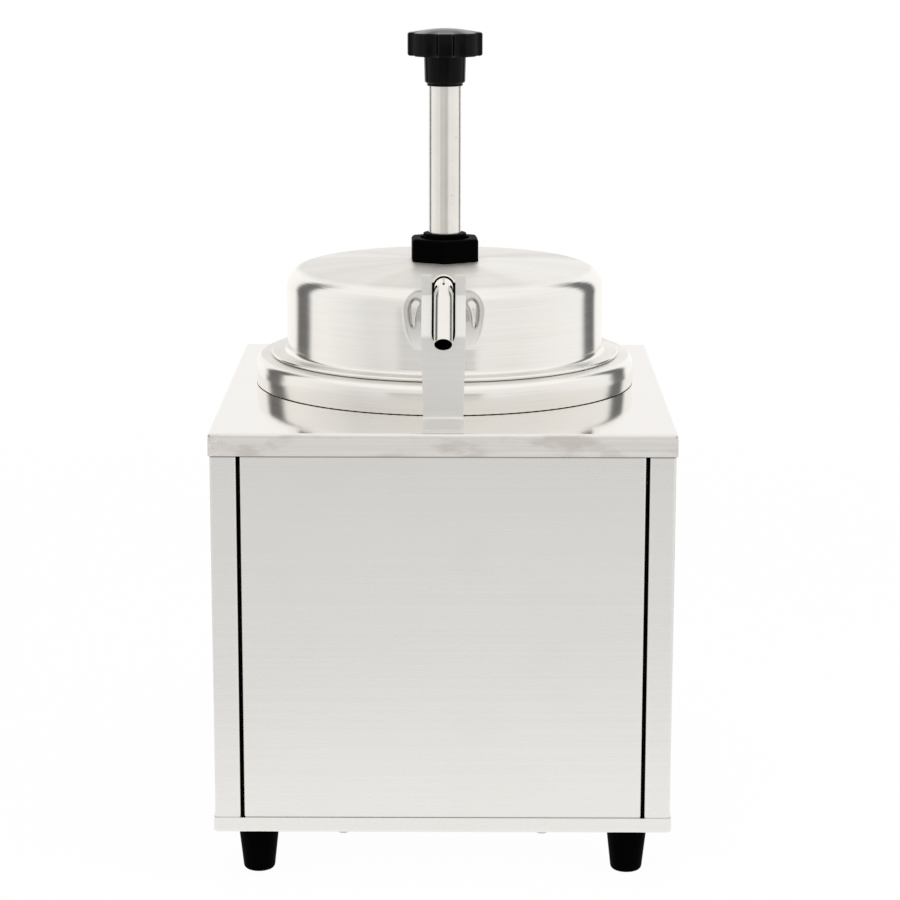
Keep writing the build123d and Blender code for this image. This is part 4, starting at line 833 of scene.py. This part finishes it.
def makeStrip():
    # the sheet's middle surface: left and right halves from the edge to the slot, which is round at its foot
    line = spacedLine(roundedLine(strip["line"], [strip["bend"]] * 3, 8), 0.003)
    length = np.concatenate([[0], np.cumsum(np.linalg.norm(np.diff(line, axis=0), axis=1))])
    rising = line[:, 1] > strip["widenFrom"]
    arcHeights = strip["slotCentre"] - strip["slotHalf"] * np.cos(np.linspace(0, math.pi / 2, 12))
    arcPlaces = np.interp(arcHeights, line[rising, 1], length[rising])
    keep = np.abs(length[:, None] - arcPlaces[None, :]).min(1) > 0.0003
    places = np.sort(np.concatenate([length[keep], arcPlaces]))
    y = np.interp(places, length, line[:, 0])
    z = np.interp(places, length, line[:, 1])
    rise = np.clip((z - strip["widenFrom"]) / (strip["widenTo"] - strip["widenFrom"]), 0, 1)
    outer = strip["halfWidth"] + (strip["forkHalfWidth"] - strip["halfWidth"]) * rise
    below = np.clip(strip["slotCentre"] - z, 0, strip["slotHalf"])
    inner = np.sqrt(np.maximum(strip["slotHalf"] ** 2 - below ** 2, 0))
    share = np.linspace(0, 1, 7)[None, :]
    x = outer[:, None] * (1 - share) + inner[:, None] * share
    left = np.stack([-x, np.broadcast_to(y[:, None], x.shape), np.broadcast_to(z[:, None], x.shape)], -1)
    right = left * (-1, 1, 1)
    piece = makePiece("forked_strip", [(left, False, False), (right, False, False)], 180)
    addModifier(piece, "SOLIDIFY", thickness=strip["thickness"], offset=0.0, use_even_offset=True)
    addModifier(piece, "BEVEL", width=strip["edge"], segments=3, limit_method="ANGLE",
                angle_limit=math.radians(50))
    return piece


slotShadeU = {"wall": 0.00105, "halfDepth": 0.00125, "topDrop": 0.0045}


def makeSlotShadeU():
    # a black U in the fork's slot, a dark piece that stands for the shade beside the spout: the slot's edge
    # and the same edge drawn in, laid on the sheet
    line = spacedLine(roundedLine(strip["line"], [strip["bend"]] * 3, 8), 0.0005)
    side = lineSides(line)[0]
    rising = line[:, 1] > strip["widenFrom"]
    quarter = np.linspace(0, math.pi / 2, 14)
    straight = np.linspace(strip["slotCentre"], strip["line"][-1][1] - slotShadeU["topDrop"], 40)[1:]
    columns = []
    inner = strip["slotHalf"] - slotShadeU["wall"]
    for radius, depth in ((strip["slotHalf"], -1), (strip["slotHalf"], 1), (inner, 1), (inner, -1)):
        x = np.concatenate([radius * np.sin(quarter), np.full(len(straight), radius)])
        z = np.concatenate([strip["slotCentre"] - radius * np.cos(quarter), straight])
        y, sideY, sideZ = (np.interp(z, line[rising, 1], values[rising])
                           for values in (line[:, 0], side[:, 0], side[:, 1]))
        depth = depth * slotShadeU["halfDepth"]
        columns.append(np.stack([x, y + sideY * depth, z + sideZ * depth], 1))
    right = np.stack(columns, 1)
    whole = np.concatenate([(right * (-1, 1, 1))[:0:-1], right])
    ends = np.repeat(whole[[0, -1]].mean(1, keepdims=True), 4, 1)
    return makePiece("slot_shade_u", [(np.concatenate([ends[:1], whole, ends[1:]]), False, True)])


seat(makeStrip(), "housing", finishes["strip_metal"], "strip_metal", "spout_bracket")
# the black U is painted shade, not a real part
seat(makeSlotShadeU(), "housing", finishes["seal_rubber"], "seal_rubber")
print("strip made")


# ---- feet ----

foot = {"bottomRadius": 0.0086, "topRadius": 0.0118, "edge": 0.0025, "boreRadius": 0.0039, "boreDepth": 0.020}


def makeFoot(name, node):
    # a tapered round block with a screw hole from below
    low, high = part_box(node)
    centre = ((low.x + high.x) / 2, (low.y + high.y) / 2)
    line = roundedLine([(0, low.z + foot["boreDepth"]), (foot["boreRadius"], low.z + foot["boreDepth"]),
                        (foot["boreRadius"], low.z), (foot["bottomRadius"], low.z),
                        (foot["topRadius"], high.z), (0, high.z)],
                       [0.0002, 0.0004, foot["edge"], foot["edge"] * 0.2], 6)
    return makePiece(name, [(revolve(line, fullTurn(72), centre), True, False)])


for corner in ("front_left", "front_right", "rear_left", "rear_right"):
    seat(makeFoot(corner + "_rubber_foot", corner + "_foot"), "housing", finishes["foot_rubber"],
         "foot_rubber", corner + "_foot")
print("feet made")


# ---- rear marks ----

dial = {"numbers": 8, "sweep": 270.0, "numberRadius": 0.0228, "size": 0.0034, "tickInner": 0.0206,
        "tickOuter": 0.0254, "tickWidth": 0.0003, "smallTicks": 5, "raise": 0.00008}


def letterShape(text, size):
    # a text object turned into points and faces, upright in its own plane, centred
    curve = bpy.data.curves.new("label", "FONT")
    curve.body = text
    curve.size = size
    curve.align_x = "CENTER"
    curve.align_y = "CENTER"
    curve.extrude = dial["raise"] / 2
    holder = bpy.data.objects.new("label", curve)
    bpy.context.scene.collection.objects.link(holder)
    bpy.context.view_layer.update()
    mesh = bpy.data.meshes.new_from_object(holder.evaluated_get(bpy.context.evaluated_depsgraph_get()))
    points = np.array([corner.co[:] for corner in mesh.vertices])
    faces = [list(face.vertices) for face in mesh.polygons]
    bpy.data.objects.remove(holder)
    bpy.data.meshes.remove(mesh)
    return points, faces


def tickShape(inner, outer, angle, width):
    # a thin bar along a ray of the dial
    ray = np.array([math.sin(angle), math.cos(angle)])
    across = np.array([ray[1], -ray[0]]) * width / 2
    flat = np.array([ray * inner - across, ray * inner + across, ray * outer + across, ray * outer - across])
    half = dial["raise"] / 2
    points = np.vstack([np.c_[flat, np.full(4, -half)], np.c_[flat, np.full(4, half)]])
    faces = [[3, 2, 1, 0], [4, 5, 6, 7], [0, 1, 5, 4], [1, 2, 6, 5], [2, 3, 7, 6], [3, 0, 4, 7]]
    return points, faces


def makeDialMarks():
    # numbers round the plate with short bars between them; seen from behind, +X is on the left
    low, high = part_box("dial_plate")
    shapes = []
    angles = np.radians(np.linspace(-dial["sweep"] / 2, dial["sweep"] / 2, dial["numbers"]))
    for number, angle in enumerate(angles):
        points, faces = letterShape(str(number + 1), dial["size"])
        offset = (math.sin(angle) * dial["numberRadius"], math.cos(angle) * dial["numberRadius"], 0)
        shapes.append((points + offset, faces))
    for angle in np.linspace(angles[0], angles[-1], (dial["numbers"] - 1) * dial["smallTicks"] + 1):
        if np.abs(angles - angle).min() > 0.01:
            shapes.append(tickShape((dial["tickInner"] + dial["tickOuter"]) / 2, dial["tickOuter"], angle,
                                    dial["tickWidth"]))
    allPoints = []
    allFaces = []
    count = 0
    for points, faces in shapes:
        placed = np.stack([(low.x + high.x) / 2 - points[:, 0], high.y + dial["raise"] / 2 + points[:, 2],
                           (low.z + high.z) / 2 + points[:, 1]], 1)
        allPoints.append(placed)
        allFaces += [[corner + count for corner in face] for face in faces]
        count += len(points)
    mesh = bpy.data.meshes.new("dial_marks")
    mesh.from_pydata(np.vstack(allPoints).tolist(), [], allFaces)
    closeMesh(mesh)
    piece = bpy.data.objects.new("dial_marks", mesh)
    bpy.context.scene.collection.objects.link(piece)
    return piece


seat(makeDialMarks(), "housing", finishes["control_plastic"], "control_plastic")
print("rear marks made")


# ---- floor, light and camera ----

stage = {"floorRadius": 1.65, "floorTone": 0.86, "glowNear": 0.97, "backdrop": 1.0, "ambient": 0.55}
camera = {"place": (0.008684, -1.62183, 0.55729), "pitch": 0.2084, "yaw": 0.0033, "roll": 0.0017,
          "lens": 111.52}


def studioRing(maker, x, y):
    # brightness round the studio by direction: white backdrop, dark flags beside it, pale sides and front
    turn = x.math("ARCTAN2", y) / (2 * math.pi) + 0.5
    stops = [(0.0, 0.86), (0.15, 0.80), (0.26, 0.95), (0.309, 0.96), (0.324, 0.16), (0.367, 0.14),
             (0.384, 1.0), (0.602, 1.0), (0.616, 0.14), (0.656, 0.16), (0.674, 0.95), (0.80, 0.9), (1.0, 0.86)]
    return turn, maker.node("ValToRGB", {"stops": stops}, {0: turn})


def makeFloor():
    # a disc; the lens sees it nearly white, mirrors see the studio's ring in it, and it takes the soft shadow
    grid = revolve(np.array([(0.0, 0.0), (0.3, 0.0), (stage["floorRadius"], 0.0)]), fullTurn(96))
    floor = makePiece("floor", [(grid, True, False)])
    f = Finish("paleFloor")
    x, y, z = f.split(f.place)
    radius = (x * x + y * y).math("SQRT")
    grain = f.noise(f.place, 30.0, 2.0, 0.5)
    glow = f.step(radius, 0.5, stage["floorRadius"], stage["glowNear"], 1.0)
    seen = f.node("LightPath", out=0)
    mirrored = f.node("LightPath", out=3).math("MAXIMUM", f.node("LightPath", out=6))
    ring = 1 + (studioRing(f, x, y)[1] - 1) * f.step(radius, 0.3, 0.6)
    plain = f.node("BsdfDiffuse", {}, {0: f.tone((1, 1, 1), stage["floorTone"] + grain * 0.01)})
    white = f.node("Emission", {}, {0: (1, 1, 1, 1), 1: 1.0})
    studio = f.node("Emission", {}, {0: f.tone((1.0, 0.99, 0.975), ring), 1: 1.0})
    lit = f.node("MixShader", {}, {0: mirrored * 0.95, 1: plain, 2: studio})
    f.close(f.node("MixShader", {}, {0: seen * glow, 1: lit, 2: white}))
    floor.data.materials.append(f.material)


def studioTone(w):
    # what mirrors see past the floor: the ring, a bright roof, and a dim front below the table's height
    x, y, z = w.split(w.node("TexCoord", out=0))
    turn, around = studioRing(w, x, y)
    level = around + (0.98 - around) * w.step(z, 0.45, 0.8)
    below = w.step(z, -0.06, -0.02, 1.0, 0.0)
    rightFront = w.step(turn, 0.93, 0.945)
    leftFront = w.step(turn, 0.085, 0.10, 1.0, 0.0)
    return level * (1 - below * (rightFront * 0.5 + leftFront * 0.35))


def makeWorld():
    world = bpy.data.worlds.new("studio")
    world.use_nodes = True
    bpy.context.scene.world = world
    w = NodeMaker(world.node_tree)
    seen = w.node("LightPath", out=0)
    mirrored = w.node("LightPath", out=3).math("MAXIMUM", w.node("LightPath", out=6))
    ambient = w.node("Background", {}, {0: (1, 1, 1, 1), 1: stage["ambient"]})
    studio = w.node("Background", {}, {0: w.tone((1.0, 0.99, 0.975), studioTone(w)), 1: 1.0})
    white = w.node("Background", {}, {0: (1, 1, 1, 1), 1: stage["backdrop"]})
    lit = w.node("MixShader", {}, {0: mirrored, 1: ambient, 2: studio})
    whole = w.node("MixShader", {}, {0: seen, 1: lit, 2: white})
    output = w.tree.nodes.new("ShaderNodeOutputWorld")
    w.tree.links.new(whole.socket, output.inputs[0])


def makeLamp(name, place, aim, size, power):
    lampData = bpy.data.lights.new(name, "AREA")
    lampData.shape = "DISK"
    lampData.size = size
    lampData.energy = power
    lamp = bpy.data.objects.new(name, lampData)
    bpy.context.scene.collection.objects.link(lamp)
    lamp.location = place
    direction = np.array(aim) - np.array(place)
    lamp.rotation_euler = lookAlong(direction)
    lamp.visible_camera = False
    lamp.visible_glossy = False


def lookAlong(direction):
    flat = math.hypot(direction[0], direction[1])
    return Euler((math.atan2(flat, -direction[2]), 0, math.atan2(-direction[0], direction[1])))


def makeCamera():
    data = bpy.data.cameras.new("camera")
    data.lens = camera["lens"]
    data.sensor_width = 36.0
    data.clip_start = 0.05
    data.clip_end = 30.0
    holder = bpy.data.objects.new("camera", data)
    bpy.context.scene.collection.objects.link(holder)
    turn = (Matrix.Rotation(camera["yaw"], 4, "Z") @ Matrix.Rotation(math.pi / 2 - camera["pitch"], 4, "X")
            @ Matrix.Rotation(camera["roll"], 4, "Z"))
    holder.matrix_world = Matrix.Translation(camera["place"]) @ turn
    bpy.context.scene.camera = holder


makeFloor()
makeWorld()
makeLamp("roofLamp", (0.1, -0.1, 1.6), (0, 0, 0.2), 1.4, 11.0)
makeLamp("frontLamp", (-0.9, -1.6, 1.1), (0, 0, 0.25), 0.9, 8.0)
makeLamp("sideLamp", (1.3, -0.6, 0.9), (0, 0, 0.25), 0.9, 6.0)
makeCamera()
bpy.context.scene.view_settings.view_transform = "Standard"
print("stage made")
